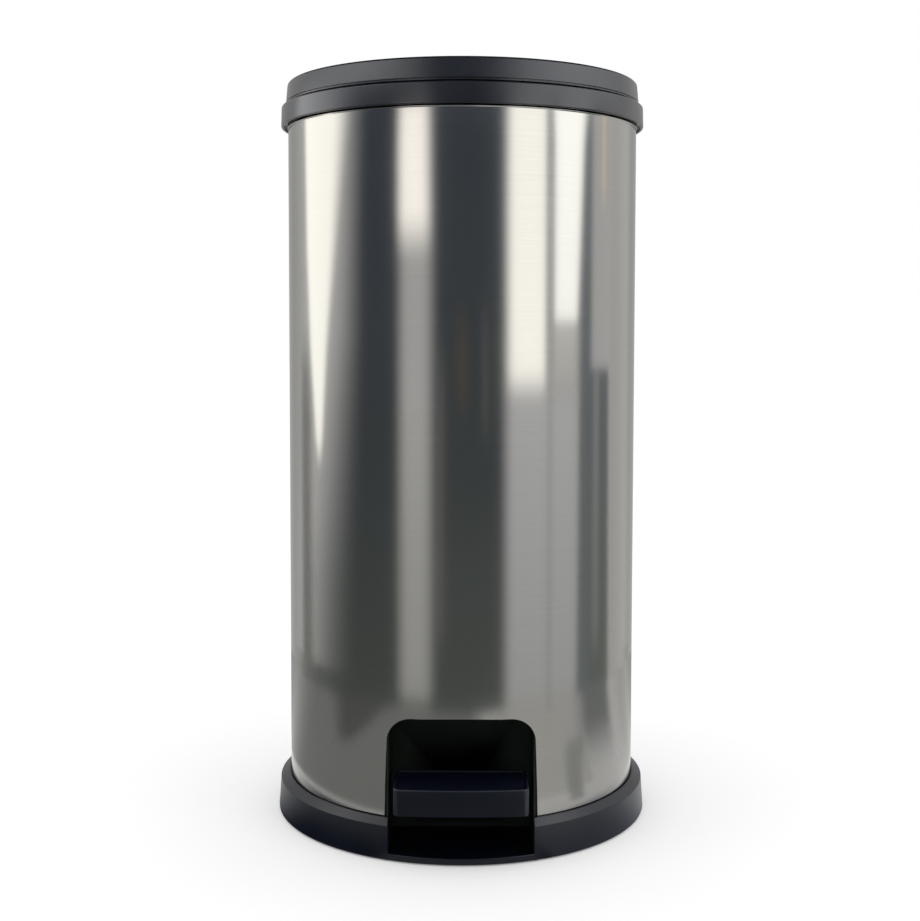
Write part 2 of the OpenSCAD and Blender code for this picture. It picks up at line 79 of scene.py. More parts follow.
shell_low, shell_high = corners_mm("outer_shell")
base_low, base_high = corners_mm("base_moulding")
lid_low, lid_high = corners_mm("lid_cover")
pedal_low, pedal_high = corners_mm("pedal_tread")
hood_low, hood_high = corners_mm("hinge_cover")

BEAD = 0.55  # how far the bead under the collar stands out
SHEET = 0.6  # the steel's thickness
BODY_R = shell_high[X] - BEAD
SHELL_LOW, SHELL_TOP = shell_low[Z], shell_high[Z]
LID_LIP = 0.8  # how far the lip at the lid's lower edge stands out
LID_R = lid_high[X] - LID_LIP
LID_LOW, LID_TOP = lid_low[Z], lid_high[Z]
COLLAR_R = corners_mm("top_collar")[1][X]
COLLAR_TOP = LID_LOW - 1.0
COLLAR_RIM = COLLAR_TOP + 0.3  # the collar's upper face, under the lid
COLLAR_LOW = SHELL_TOP - 4.0
BASE_R, BASE_LOW = base_high[X], base_low[Z]
BASE_TOP = SHELL_LOW + 2.3
HINGE_Y, HINGE_Z = middle_mm("hinge_pin")[Y:]
LEDGE_Z = COLLAR_TOP - 4.2  # the collar's ledge, which the bucket hangs on
LEDGE_R = 138.0
BUCKET_LOW = corners_mm("inner_bucket")[0][Z]
BUCKET_R = 126.0  # the bucket's wall at the ledge
AXLE_Y, AXLE_Z = middle_mm("pivot_axle")[Y:]
ROD_Y = middle_mm("push_rod")[Y]

# sizes that more than one piece uses
GAP_HALF = 55.9  # the pedal's way through the base and the pocket
DECK_LOW, DECK_TOP = 50.0, 53.0  # the floor inside the base
UNDER_DECK = DECK_LOW + 0.5  # where ribs and posts end, inside the deck
FOOT_R = 133.0
FOOT_ANGLES = (45, 135, 225, 315)
POCKET_BACK = 80.0
POCKET_XS = (-38, 38)  # the pocket's screws
POCKET_Y = 12 - POCKET_BACK
TAB_TOP = 55.5  # the pocket's tabs on the deck
HOOD_XS = (-18, 18)  # the hood's screws
HOOD_Z = COLLAR_LOW + 5
BAIL_R = 129.5  # the arc of the bucket's wire handle
BAIL_Z = LEDGE_Z + 6.2

SEGMENTS = 288  # round the can
SMALL_SEGMENTS = 48  # round a pin or a screw
SHARP_ANGLE = radians(35)  # edges steeper than this stay crisp
TINY = 1e-6


# ---- mesh helpers

def finish_shading(ob, weighted=True):
    """Shades the faces smooth and keeps sharp edges crisp."""
    ob.data.shade_smooth()
    ob.data.set_sharp_from_angle(angle=SHARP_ANGLE)
    if weighted and "weighted" not in ob.modifiers:
        mod = ob.modifiers.new("weighted", "WEIGHTED_NORMAL")
        mod.keep_sharp = True
        mod.weight = 100


def new_object(name, bm, weighted=True):
    """Puts a bmesh, which is used up, into a new object."""
    mesh = bpy.data.meshes.new(name)
    bm.to_mesh(mesh)
    bm.free()
    ob = bpy.data.objects.new(name, mesh)
    bpy.context.scene.collection.objects.link(ob)
    finish_shading(ob, weighted)
    return ob


def add_object(name, bm, weighted=True):
    """The same, once doubled points are merged and the faces turned outwards."""
    bmesh.ops.remove_doubles(bm, verts=bm.verts, dist=TINY)
    bmesh.ops.recalc_face_normals(bm, faces=bm.faces)
    return new_object(name, bm, weighted)


def drop(ob):
    """Removes an object that was only a step on the way, with its mesh."""
    mesh = ob.data
    bpy.data.objects.remove(ob)
    bpy.data.meshes.remove(mesh)


def rounded(corners, steps=5):
    """A closed outline from (x, y, radius) corners, each corner cut by an arc of that radius."""
    out = []
    count = len(corners)
    for i, (x, y, r) in enumerate(corners):
        here = Vector((x, y))
        if r <= 0:
            out.append((x, y))
            continue
        before = Vector(corners[i - 1][:2]) - here
        after = Vector(corners[(i + 1) % count][:2]) - here
        half = before.angle(after) / 2
        # an arc takes up to half a side where the next corner is round too, else nearly all of it
        room = [side.length * (0.499 if corners[(i + step) % count][2] > 0 else 0.98)
                for side, step in ((before, -1), (after, 1))]
        reach = min(r / tan(half), *room)
        r = reach * tan(half)
        centre = here + (before.normalized() + after.normalized()).normalized() * (r / sin(half))
        first = here + before.normalized() * reach - centre
        last = here + after.normalized() * reach - centre
        turn = first.angle_signed(last)
        for k in range(steps + 1):
            a = -turn * k / steps
            ca, sa = cos(a), sin(a)
            out.append((centre.x + first.x * ca - first.y * sa, centre.y + first.x * sa + first.y * ca))
    return out


def revolve(name, outline, segments=SEGMENTS):
    """A closed (radius, height) outline in millimetres, turned round the Z axis."""
    bm = bmesh.new()
    rings = []
    for r, z in outline:
        if r < TINY:
            rings.append([bm.verts.new((0, 0, z * MM))] * segments)
            continue
        ring = []
        for i in range(segments):
            a = 2 * pi * i / segments
            ring.append(bm.verts.new((r * MM * sin(a), r * MM * cos(a), z * MM)))
        rings.append(ring)
    for ring, following in zip(rings, rings[1:] + rings[:1]):
        for i in range(segments):
            j = (i + 1) % segments
            corners = list(dict.fromkeys((ring[i], ring[j], following[j], following[i])))
            if len(corners) > 2:
                bm.faces.new(corners)
    return add_object(name, bm)


def loft(name, sections):
    """Closed loops of the same number of points, in millimetres, joined one to the next and capped."""
    bm = bmesh.new()
    loops = [[bm.verts.new(Vector(p) * MM) for p in section] for section in sections]
    count = len(loops[0])
    for low, high in zip(loops, loops[1:]):
        for i in range(count):
            j = (i + 1) % count
            bm.faces.new((low[i], low[j], high[j], high[i]))
    bm.faces.new(loops[0])
    bm.faces.new(loops[-1])
    return add_object(name, bm)


def slab(name, outline, ys):
    """An (x, z) outline in millimetres, carried from one y to another."""
    return loft(name, [[(x, y, z) for x, z in outline] for y in ys])


def quarter(steps):
    """(1 - cosine, sine) of the angles from 0 to 90 degrees."""
    return [(1 - cos(a), sin(a)) for a in (radians(90 * k / steps) for k in range(steps + 1))]


def box_mesh(name, low, high, round_by=0.0):
    """A block between two corners in millimetres, its edges rounded."""
    bm = bmesh.new()
    bmesh.ops.create_cube(bm, size=1.0)
    low, high = Vector(low) * MM, Vector(high) * MM
    size = high - low
    for v in bm.verts:
        v.co = Vector(low[k] + (v.co[k] + 0.5) * size[k] for k in range(3))
    if round_by:
        bmesh.ops.bevel(bm, geom=bm.edges[:] + bm.verts[:], offset=round_by * MM, segments=3,
                        profile=0.5, affect="EDGES")
    return add_object(name, bm)


def side_box(name, side, near, far, low, high, round_by=0.0):
    """A block from near to far on one side, -1 or 1, of the middle; low and high are (y, z)."""
    left, right = sorted((side * near, side * far))
    return box_mesh(name, (left, *low), (right, *high), round_by)


def stand(ob, start, along):
    """Turns a form that was made on the Z axis to point along, and moves it to start."""
    turn = Vector((0, 0, 1)).rotation_difference(Vector(along)).to_matrix().to_4x4()
    ob.data.transform(Matrix.Translation(Vector(start) * MM) @ turn)


def bar_mesh(name, start, end, radius, segments=SMALL_SEGMENTS, round_by=0.0):
    """A round bar between two points in millimetres, its end edges rounded."""
    along = Vector(end) - Vector(start)
    length = along.length
    outline = [(0, 0, 0), (radius, 0, round_by), (radius, length, round_by), (0, length, 0)]
    ob = revolve(name, rounded(outline, 3), segments)
    stand(ob, start, along)
    return ob


def drum(name, low, high, radius):
    """An upright bar on the can's axis, with as many sides as the can."""
    return bar_mesh(name, (0, 0, low), (0, 0, high), radius, SEGMENTS)


def tube(name, path, radii, sides):
    """A round bar that follows a path in millimetres, with a radius for each of its points."""
    points = [Vector(p) for p in path]
    across = None
    loops = []
    for i, (here, radius) in enumerate(zip(points, radii)):
        along = (points[min(i + 1, len(points) - 1)] - points[max(i - 1, 0)]).normalized()
        if across is None:
            across = along.orthogonal().normalized()
        across = (across - along * across.dot(along)).normalized()
        other = along.cross(across)
        loops.append([here + (across * cos(a) + other * sin(a)) * radius
                      for a in (2 * pi * k / sides for k in range(sides))])
    return loft(name, loops)


def round_places(radius, angles, z):
    """Places for studs that point up, at the same height round the can."""
    return [((radius * cos(a), radius * sin(a), z), (0, 0, 1)) for a in map(radians, angles)]


def studs(name, places, outline, cross=0.0):
    """The same turned form at each (start, direction); cross is the width of a cross recess in its end."""
    cross_share, cross_depth = 0.62, 0.9
    parts = []
    for start, along in places:
        part = revolve(name, outline, SMALL_SEGMENTS)
        if cross:
            reach = max(r for r, z in outline) * cross_share
            low = min(z for r, z in outline)
            for a, b in ((reach, cross / 2), (cross / 2, reach)):
                combine(part, [box_mesh("cross", (-a, -b, low - 1), (a, b, low + cross_depth))])
        stand(part, start, along)
        parts.append(part)
    return join(name, parts)


def screw_outline(shank_r, shank_l, head_r, head_t):
    """A low round head under 0 and a shank with a short point above it."""
    return rounded([(0, -head_t, 0), (head_r * 0.55, -head_t, 0.5), (head_r, -head_t * 0.35, 0.5),
                    (head_r, 0, 0.15), (shank_r, 0, 0), (shank_r, shank_l - 1.2, 0),
                    (shank_r * 0.5, shank_l, 0), (0, shank_l, 0)], 4)


def combine(ob, others, how="DIFFERENCE"):
    """Applies boolean steps to ob with each of the others, which are used up."""
    for other in others:
        mod = ob.modifiers.new("step", "BOOLEAN")
        mod.operation = how
        mod.solver = "EXACT"
        mod.object = other
        graph = bpy.context.evaluated_depsgraph_get()
        made = bpy.data.meshes.new_from_object(ob.evaluated_get(graph))
        ob.modifiers.clear()
        old = ob.data
        ob.data = made
        bpy.data.meshes.remove(old)
        drop(other)
    finish_shading(ob)
    return ob


def join(name, parts):
    """Puts the meshes of several objects, which are used up, into one new object."""
    bm = bmesh.new()
    for part in parts:
        bm.from_mesh(part.data)
        drop(part)
    return new_object(name, bm)


def soften(ob, chosen, segments, merge=False, **settings):
    """Rounds by 0.5 mm the edges for which chosen(edge, the edge's middle in mm) holds."""
    bm = bmesh.new()
    bm.from_mesh(ob.data)
    if merge:
        bmesh.ops.dissolve_degenerate(bm, dist=TINY, edges=bm.edges[:])
    edges = [e for e in bm.edges
             if len(e.link_faces) == 2 and chosen(e, (e.verts[0].co + e.verts[1].co) / 2 / MM)]
    bmesh.ops.bevel(bm, geom=edges, offset=0.5 * MM, segments=segments, profile=0.5, affect="EDGES",
                    **settings)
    bm.to_mesh(ob.data)
    bm.free()
    finish_shading(ob)


# ---- materials

class Nodes:
    """A short way to build the node tree of a material or of the world."""

    def __init__(self, owner, output="OutputMaterial"):
        owner.use_nodes = True
        self.owner = owner
        self.tree = owner.node_tree
        self.tree.nodes.clear()
        self.output = self.add(output)

    def add(self, kind, inputs=None, **settings):
        """A new node, each of its inputs set to a number or a colour, or linked from a socket."""
        node = self.tree.nodes.new("ShaderNode" + kind)
        for key, value in settings.items():
            setattr(node, key, value)
        for key, value in (inputs or {}).items():
            socket = node.inputs[key]
            if isinstance(value, bpy.types.NodeSocket):
                self.tree.links.new(value, socket)
            else:
                socket.default_value = (*value, 1.0) if socket.type == "RGBA" else value
        return node

    def show(self, shader):
        """Links a shader to the output, and returns the material or world."""
        self.tree.links.new(shader.outputs[0], self.output.inputs["Surface"])
        return self.owner

    def math(self, operation, a, b=0.0):
        return self.add("Math", {0: a, 1: b}, operation=operation).outputs[0]

    def weigh(self, *terms):
        """The sum of (value, weight) terms."""
        total = self.math("MULTIPLY", *terms[-1])
        for value, weight in reversed(terms[:-1]):
            total = self.math("ADD", self.math("MULTIPLY", value, weight), total)
        return total

    def spread(self, value, from_low, from_high, to_low, to_high, smooth=False):
        return self.add("MapRange",
                        {"Value": value, "From Min": from_low, "From Max": from_high,
                         "To Min": to_low, "To Max": to_high},
                        interpolation_type="SMOOTHSTEP" if smooth else "LINEAR").outputs["Result"]

    def noise(self, vector, scale, detail=3.0, rough=0.55):
        return self.add("TexNoise", {"Vector": vector, "Scale": scale, "Detail": detail,
                                     "Roughness": rough}).outputs[0]

    def mix(self, factor, a, b):
        """A mix of two colours; 6, 7 and 2 are the node's colour sockets."""
        return self.add("Mix", {"Factor": factor, 6: a, 7: b}, data_type="RGBA").outputs[2]

    def tones(self, value, colour, darker, lighter):
        """The colour, from darker to lighter times itself as a noise value rises."""
        dark = tuple(c * darker for c in colour)
        light = tuple(min(1.0, c * lighter) for c in colour)
        return self.mix(self.spread(value, 0.35, 0.65, 0.0, 1.0), dark, light)

    def place(self):
        return self.add("TexCoord").outputs["Object"]

    def bump(self, height, strength, distance, normal=None):
        inputs = {"Height": height, "Strength": strength, "Distance": distance}
        if normal is not None:
            inputs["Normal"] = normal
        return self.add("Bump", inputs).outputs[0]

    def seen(self):
        """1 for what is seen directly, in a gloss or through glass, and 0 for light that falls on things."""
        ray = self.add("LightPath").outputs
        direct = self.math("MAXIMUM", ray["Is Camera Ray"], ray["Is Glossy Ray"])
        return self.math("MAXIMUM", direct, ray["Is Transmission Ray"])

    def principled(self, inputs):
        return self.show(self.add("BsdfPrincipled", inputs))


def material_nodes(name):
    return Nodes(bpy.data.materials.new(name))


def plastic(name, colour, roughness, grain=2600.0, specular=0.5):
    """Moulded plastic: eroded grain, slight flow marks and patches handled smoother."""
    n = material_nodes(name)
    at = n.place()
    patches = n.noise(at, 14.0, 4.0)
    flow = n.noise(at, 90.0, 2.0)
    fine = n.noise(at, grain, 2.0, 0.6)
    coarse = n.noise(at, grain / 3.2, 2.0)
    rough = n.math("ADD", n.spread(patches, 0.3, 0.7, roughness - 0.035, roughness + 0.035),
                   n.spread(fine, 0.3, 0.7, -0.03, 0.03))
    return n.principled({"Base Color": n.tones(n.weigh((patches, 0.7), (flow, 0.3)), colour, 0.82, 1.18),
                         "Roughness": rough, "Specular IOR Level": specular,
                         "Normal": n.bump(n.weigh((fine, 0.5), (coarse, 0.5)), 0.55, 0.00004)})


def brushed_steel(name, colour, roughness):
    """Sheet steel brushed round the can: fine level lines, faint smudges, a stretched highlight."""
    n = material_nodes(name)
    at = n.place()
    x, y, z = n.add("SeparateXYZ", {0: at}).outputs
    around = n.math("MULTIPLY", n.math("ARCTAN2", x, y), BODY_R * MM)

    def brushed_at(along, up, seed):
        """Where a noise is read: along and up are its cells per metre."""
        return n.add("CombineXYZ", {0: n.math("MULTIPLY", around, along),
                                    1: n.math("MULTIPLY", z, up), 2: seed}).outputs[0]

    lines = n.noise(brushed_at(6.0, 900.0, 0.0), 1.0, 3.0, 0.65)
    hair = n.noise(brushed_at(24.0, 3200.0, 5.0), 1.0, 2.0, 0.6)
    wide = n.noise(brushed_at(5.0, 60.0, 9.0), 1.0, 3.0)
    smudge = n.noise(at, 9.0, 4.0, 0.6)
    tone = n.weigh((lines, 0.5), (hair, 0.4), (wide, 0.1))
    base = n.tones(tone, colour, 0.965, 1.035)
    # the sheet's welded joint, behind: a ground line with a faint heat tint on both sides
    behind = n.math("GREATER_THAN", y, 0.0)
    aside = n.math("ABSOLUTE", x)
    weld = n.math("MULTIPLY", n.spread(aside, 0.0005, 0.0009, 1.0, 0.0, True), behind)
    tint = n.math("MULTIPLY", n.spread(aside, 0.001, 0.006, 0.6, 0.0, True), behind)
    base = n.mix(tint, base, tuple(c * k for c, k in zip(colour, (0.93, 0.86, 0.76))))
    base = n.mix(weld, base, tuple(c * 0.72 for c in colour))
    rough = n.math("ADD", n.spread(tone, 0.35, 0.65, roughness - 0.008, roughness + 0.012),
                   n.math("ADD", n.spread(smudge, 0.5, 0.75, 0.0, 0.015), n.math("MULTIPLY", weld, 0.25)))
    normal = n.bump(n.weigh((lines, 0.6), (hair, 0.4)), 0.05, 0.00004)
    normal = n.bump(weld, 0.6, 0.00012, normal)
    tangent = n.add("Tangent", direction_type="RADIAL", axis="Z").outputs[0]
    return n.principled({"Base Color": base, "Metallic": 1.0, "Roughness": rough, "Normal": normal,
                         "Tangent": tangent, "Anisotropic": 0.55})


def bright_steel(name, colour, roughness):
    """Plated or pressed steel: fine grain and dull patches."""
    n = material_nodes(name)
    at = n.place()
    grain = n.noise(at, 900.0, 3.0, 0.6)
    tone = n.weigh((grain, 0.4), (n.noise(at, 60.0, 4.0, 0.6), 0.6))
    return n.principled({"Base Color": n.tones(tone, colour, 0.82, 1.12), "Metallic": 1.0,
                         "Roughness": n.spread(tone, 0.3, 0.7, roughness - 0.05, roughness + 0.08),
                         "Normal": n.bump(grain, 0.4, 0.00002)})


STEEL = brushed_steel("brushed_steel", (0.32, 0.315, 0.302), 0.12)
LID_PLASTIC = plastic("charcoal_plastic", (0.01, 0.0112, 0.016), 0.27)
COLLAR_PLASTIC = plastic("collar_plastic", (0.01, 0.0112, 0.016), 0.23)
BASE_PLASTIC = plastic("base_plastic", (0.002, 0.0033, 0.01), 0.34)
POCKET_PLASTIC = plastic("pocket_plastic", (0.015, 0.019, 0.016), 0.7, specular=0.08)
PEDAL_PLASTIC = plastic("pedal_plastic", (0.0016, 0.0026, 0.0098), 0.33)
LINER_PLASTIC = plastic("liner_plastic", (0.018, 0.019, 0.022), 0.5)
BUCKET_PLASTIC = plastic("bucket_plastic", (0.016, 0.017, 0.019), 0.36, grain=1500.0)
RUBBER = plastic("black_rubber", (0.012, 0.012, 0.013), 0.75, grain=1800.0, specular=0.3)
GUIDE_PLASTIC = plastic("guide_plastic", (0.02, 0.021, 0.024), 0.45)
PRESSED = bright_steel("pressed_steel", (0.38, 0.385, 0.39), 0.38)
WIRE = bright_steel("wire_steel", (0.5, 0.5, 0.5), 0.25)
SCREW = bright_steel("screw_steel", (0.42, 0.425, 0.43), 0.3)


def finish_node(name, material):
    """Gives a CAD node one material all over."""
    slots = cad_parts[name].data.materials
    if not len(slots):
        slots.append(material)
    for i in range(len(slots)):
        slots[i] = material


# the nodes that no piece replaces
for node_name, node_material in {
        "pivot_axle": WIRE, "hinge_pin": WIRE, "crank_pin": WIRE, "push_rod": WIRE, "axle_clips": PRESSED,
        "rod_guides": GUIDE_PLASTIC, "rod_head": GUIDE_PLASTIC, "rod_foot": GUIDE_PLASTIC,
        "lid_hinge_arm": LINER_PLASTIC}.items():
    finish_node(node_name, node_material)


def dress(ob, material, body, slot, *replaced):
    """Gives a piece its material and body, and hides the CAD nodes that it stands for, giving them the same
    material; slot is not used.
    """
    ob.data.materials.clear()
    ob.data.materials.append(material)
    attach(ob, body)
    if replaced:
        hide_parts(*replaced)
    for name in replaced:
        finish_node(name, material)
    return ob


# ---- steel body

def steel_body():
    """The rolled sheet with a bead under the collar, and the arch cut out for the pedal."""
    inner = BODY_R - SHEET
    body = revolve("steel_body", rounded([
        (inner, SHELL_LOW, 0), (BODY_R, SHELL_LOW, 0), (BODY_R, COLLAR_LOW - 1.75, 0.3),
        (BODY_R + BEAD, COLLAR_LOW - 0.95, 0.2), (BODY_R + BEAD, COLLAR_LOW - 0.5, 0.15),
        (BODY_R, COLLAR_LOW - 0.5, 0), (BODY_R, SHELL_TOP, 0), (inner, SHELL_TOP, 0),
    ], 4), 720)
    # the arch: straight sides that lean in a little, round corners and a slightly bowed top
    half_top, half_low, top, corner, bow = 56.4, 58.9, 108.3, 19.5, 1.5
    crown = [(x, top + bow * (1 - (x / 37.0) ** 2), 0) for x in range(30, -31, -6)]
    arch = rounded([(-half_low, SHELL_LOW - 1, 0), (half_low, SHELL_LOW - 1, 0),
                    (half_top, top, corner), *crown, (-half_top, top, corner)], 24)
    combine(body, [slab("cutter", arch, (-200, -60))])

    def on_arch(edge, mid):
        """Whether the edge lies on the sheet's outer face, where the arch cuts it."""
        out = Vector((mid.x, mid.y, 0))
        outward = [face.normal.dot(out.normalized()) > 0.9 for face in edge.link_faces]
        return (mid.y < -50 and outward[0] != outward[1] and out.length > BODY_R - 0.1
                and SHELL_LOW + 0.5 < mid.z < 130)

    soften(body, on_arch, 3, clamp_overlap=False)
    return dress(body, STEEL, "can", "steel_body", "outer_shell")


steel_body()


# ---- lid

def lid_shell():
    """Lid moulding: lip, groove, side band, round edge, raised border and crowned panel."""
    inside = LID_R - 2.2
    panel_r = LID_R - 13
    roof = LID_TOP - 2.6
    panel_z, bow = LID_TOP - 1.1, 0.9
    crown = [(panel_r * (1 - t), panel_z + bow * (1 - (1 - t) ** 2), 0) for t in (i / 12 for i in range(13))]
    low = LID_LOW + 0.4
    lid = revolve("lid_shell", rounded([
        (inside, low, 0.2), (LID_R + LID_LIP, low, 0.3), (LID_R + LID_LIP, low + 1.1, 0.35),
        (LID_R - 0.9, low + 1.3, 0.1), (LID_R - 0.9, low + 1.95, 0.1), (LID_R, low + 2.1, 0.12),
        (LID_R - 1.4, LID_TOP, 2.0), (panel_r + 2.2, LID_TOP, 0.8), *crown,
        (0, roof, 0), (inside, roof, 1.8),
    ]))
    combine(lid, [box_mesh("notch", (-34, 118, LID_LOW - 5), (34, 172, LID_LOW + 9))])
    return dress(lid, LID_PLASTIC, "lid", "lid_plastic", "lid_cover")


lid_shell()


# ---- collar

def collar():
    """Collar moulding: round-edged skirt, top web, bucket ledge, hinge ears and rear pocket."""
    skirt_in = BODY_R + 2
    steel_gap = BODY_R + 0.3
    inner_out = BODY_R - SHEET - 0.5
    inner_in = inner_out - 3
    ring = revolve("collar", rounded([
        (BUCKET_R + 1, LEDGE_Z - 3, 0.4), (inner_in, LEDGE_Z - 3, 0.6), (inner_in, COLLAR_LOW - 6, 0.3),
        (inner_out, COLLAR_LOW - 6, 0.3), (inner_out, COLLAR_TOP - 3, 0), (skirt_in, COLLAR_TOP - 3, 0),
        (skirt_in, COLLAR_LOW + 5, 0), (steel_gap, COLLAR_LOW + 5, 0), (steel_gap, COLLAR_LOW + 3, 0.3),
        (BODY_R + 3.5, COLLAR_LOW + 3, 0.8), (BODY_R + 3.5, COLLAR_LOW, 0.4), (COLLAR_R, COLLAR_LOW, 1.2),
        (COLLAR_R - 0.4, COLLAR_RIM, 1.2), (LEDGE_R, COLLAR_RIM, 0.6),
        (LEDGE_R, LEDGE_Z, 0.4), (BUCKET_R + 1, LEDGE_Z, 0.4),
    ]))
    ears = []
    foot_low, foot_high = (HINGE_Y - 11, COLLAR_TOP - 10.2), (HINGE_Y, COLLAR_TOP)
    for side in (-1, 1):
        ends = [(side * x, HINGE_Y, HINGE_Z) for x in (34, 42)]
        ears += [bar_mesh("ear", *ends, 6.5, round_by=0.5),
                 side_box("ear_foot", side, 34, 42, foot_low, foot_high, 0.3)]
    combine(ring, ears, "UNION")
    cutters = [
        box_mesh("pocket", (-33.4, HINGE_Y - 7.8, HINGE_Z - 7.5), (33.4, 260, 700)),
        box_mesh("slot", (-11, BUCKET_R, COLLAR_LOW - 10), (11, HINGE_Y - 3, 700)),
        bar_mesh("bore", (-50, HINGE_Y, HINGE_Z), (50, HINGE_Y, HINGE_Z), 2.53),
    ]
    cutters += [bar_mesh("hole", (x, 140, HOOD_Z), (x, 200, HOOD_Z), 1.5) for x in HOOD_XS]
    combine(ring, cutters)
    return dress(ring, COLLAR_PLASTIC, "can", "collar_plastic", "top_collar")


collar()


# ---- base

def base():
    """Base moulding: ring with a bevelled top edge, open at the front for the pedal."""
    bevel_r, bevel_z = BASE_R - 1.7, BASE_TOP - 4.7
    spigot_out = BODY_R - SHEET - 0.3
    spigot_in = spigot_out - 2.5
    spigot_top = DECK_TOP + 2
    ring = revolve("base_ring", rounded([
        (0, DECK_LOW, 0), (spigot_in, DECK_LOW, 1.0), (spigot_in, bevel_z, 0.5),
        (BASE_R - 11, bevel_z - 1, 0.6), (bevel_r - 3.1, bevel_z - 3, 1.0), (BASE_R - 2.5, BASE_LOW, 0.4),
        (BASE_R, BASE_LOW, 0.7), (bevel_r, bevel_z, 1.1), (BODY_R + 2, BASE_TOP - 0.3, 0.5),
        (BODY_R + 0.6, BASE_TOP, 0.35), (BODY_R + 0.6, SHELL_LOW, 0), (spigot_out, SHELL_LOW, 0),
        (spigot_out, spigot_top, 0.5), (spigot_in, spigot_top, 0.5), (spigot_in, DECK_TOP, 0),
        (0, DECK_TOP, 0),
    ]))
    wall, lip, back = 2.5, 5.9, -77.6
    ribs = []
    for angle in (-35, 0, 40, 140, 180, 215):
        rib = box_mesh("rib", (45, -1, 36), (143, 1, UNDER_DECK), 0.3)
        rib.data.transform(Matrix.Rotation(radians(angle), 4, "Z"))
        ribs.append(rib)
    combine(ring, ribs, "UNION")
    # the way for the pedal, cut out of the ring above a low lip
    room = drum("room", -5, 200, BODY_R + 0.3)
    keep = box_mesh("keep", (-GAP_HALF - wall, -400, -1), (GAP_HALF + wall, back, 300))
    combine(room, [keep], "INTERSECT")
    combine(ring, [room, box_mesh("way", (-GAP_HALF, -400, lip), (GAP_HALF, back, 300))])
    # the bay under the pedal: its floor, its sides, the ring's closed ends and the axle's hangers
    bay = GAP_HALF + wall + 0.3 + wall
    plate = drum("plate", BASE_LOW, BASE_LOW + wall, BASE_R - 1)
    combine(plate, [box_mesh("keep", (-bay, -400, -1), (bay, back, 300))], "INTERSECT")
    walls = [plate]
    inner = BODY_R + 0.3
    end_outline = [(inner, BASE_LOW), (BASE_R - 0.3, BASE_LOW), (bevel_r - 0.3, bevel_z),
                   (BODY_R + 1.7, BASE_TOP - 0.3), (inner, BASE_TOP - 0.3)]
    for side in (-1, 1):
        walls.append(side_box("bay_side", side, bay - wall, bay, (-130, BASE_LOW), (back, UNDER_DECK), 0.4))
        end = revolve("ring_end", end_outline)
        keep = side_box("keep", side, GAP_HALF, GAP_HALF + wall, (-200, -1), (12 - BODY_R, 100))
        walls.append(combine(end, [keep], "INTERSECT"))
        walls.append(side_box("hanger", side, 20, 26, (AXLE_Y - 9, AXLE_Z - 8),
                              (AXLE_Y + 9, UNDER_DECK), 0.5))
    for (x, y, _), _ in round_places(FOOT_R, FOOT_ANGLES, 0):
        walls.append(bar_mesh("post", (x, y, 2.5), (x, y, UNDER_DECK), 7.5, round_by=0.4))
    combine(ring, walls, "UNION")
    combine(ring, [bar_mesh("bore", (-27, AXLE_Y, AXLE_Z), (27, AXLE_Y, AXLE_Z), 3.03),
                   bar_mesh("rod_way", (0, ROD_Y, 0), (0, ROD_Y, 100), 8.5)])

    def round_way(edge, mid):
        """Whether the edge is a corner on the ring's outside, where the way cuts it."""
        return (edge.calc_face_angle(0) >= radians(40) and mid.y < -100 and abs(mid.x) < GAP_HALF + 0.1
                and hypot(mid.x, mid.y) > BODY_R + 1 and BASE_LOW + 1 < mid.z < BASE_TOP + 1)

    soften(ring, round_way, 2, merge=True)
    return dress(ring, BASE_PLASTIC, "can", "base_plastic", "base_moulding")


base()


# ---- pedal

def pedal_outline(inset):
    """Plan of the pedal: bowed front, straight sides, round corners."""
    front, back = pedal_low[Y] + inset, pedal_high[Y] - inset
    half = pedal_high[X] - inset
    bow_r = 435 - inset  # the radius of the bowed front
    radius = max(4.5 - inset, 0.6)
    xs = [half * i / 7.0 for i in range(-7, 8)]
    bowed = [(x, front + bow_r - sqrt(bow_r ** 2 - x * x), radius if abs(x) == half else 0) for x in xs]
    return rounded(bowed + [(half, back, radius), (-half, back, radius)], 8)


def pedal():
    """Hollow pedal with a round top edge and a low rim round its top face."""
    low, high = pedal_low[Z], pedal_high[Z]
    steps = [(2.6, low + 15.1), (2.6, low + 0.4), (2.3, low), (0.5, low), (0.15, low + 0.15), (0, low + 0.5)]
    edge = 1.3
    steps += [(edge * inward, high - edge + edge * up) for inward, up in quarter(6)]
    steps += [(2.1, high), (2.5, high - 0.25), (2.7, high - 0.9), (3.1, high - 1.2), (12.0, high - 1.2)]
    rings = [[(x, y, z) for x, y in pedal_outline(inset)] for inset, z in steps]
    return dress(loft("pedal", rings), PEDAL_PLASTIC, "pedal", "pedal_plastic", "pedal_tread")


pedal()


# ---- pocket behind the pedal

def arch_outline(half, top, low, corner):
    """An upright rectangle with round upper corners."""
    return rounded([(-half, low, 0), (half, low, 0), (half, top, corner), (-half, top, corner)], 20)


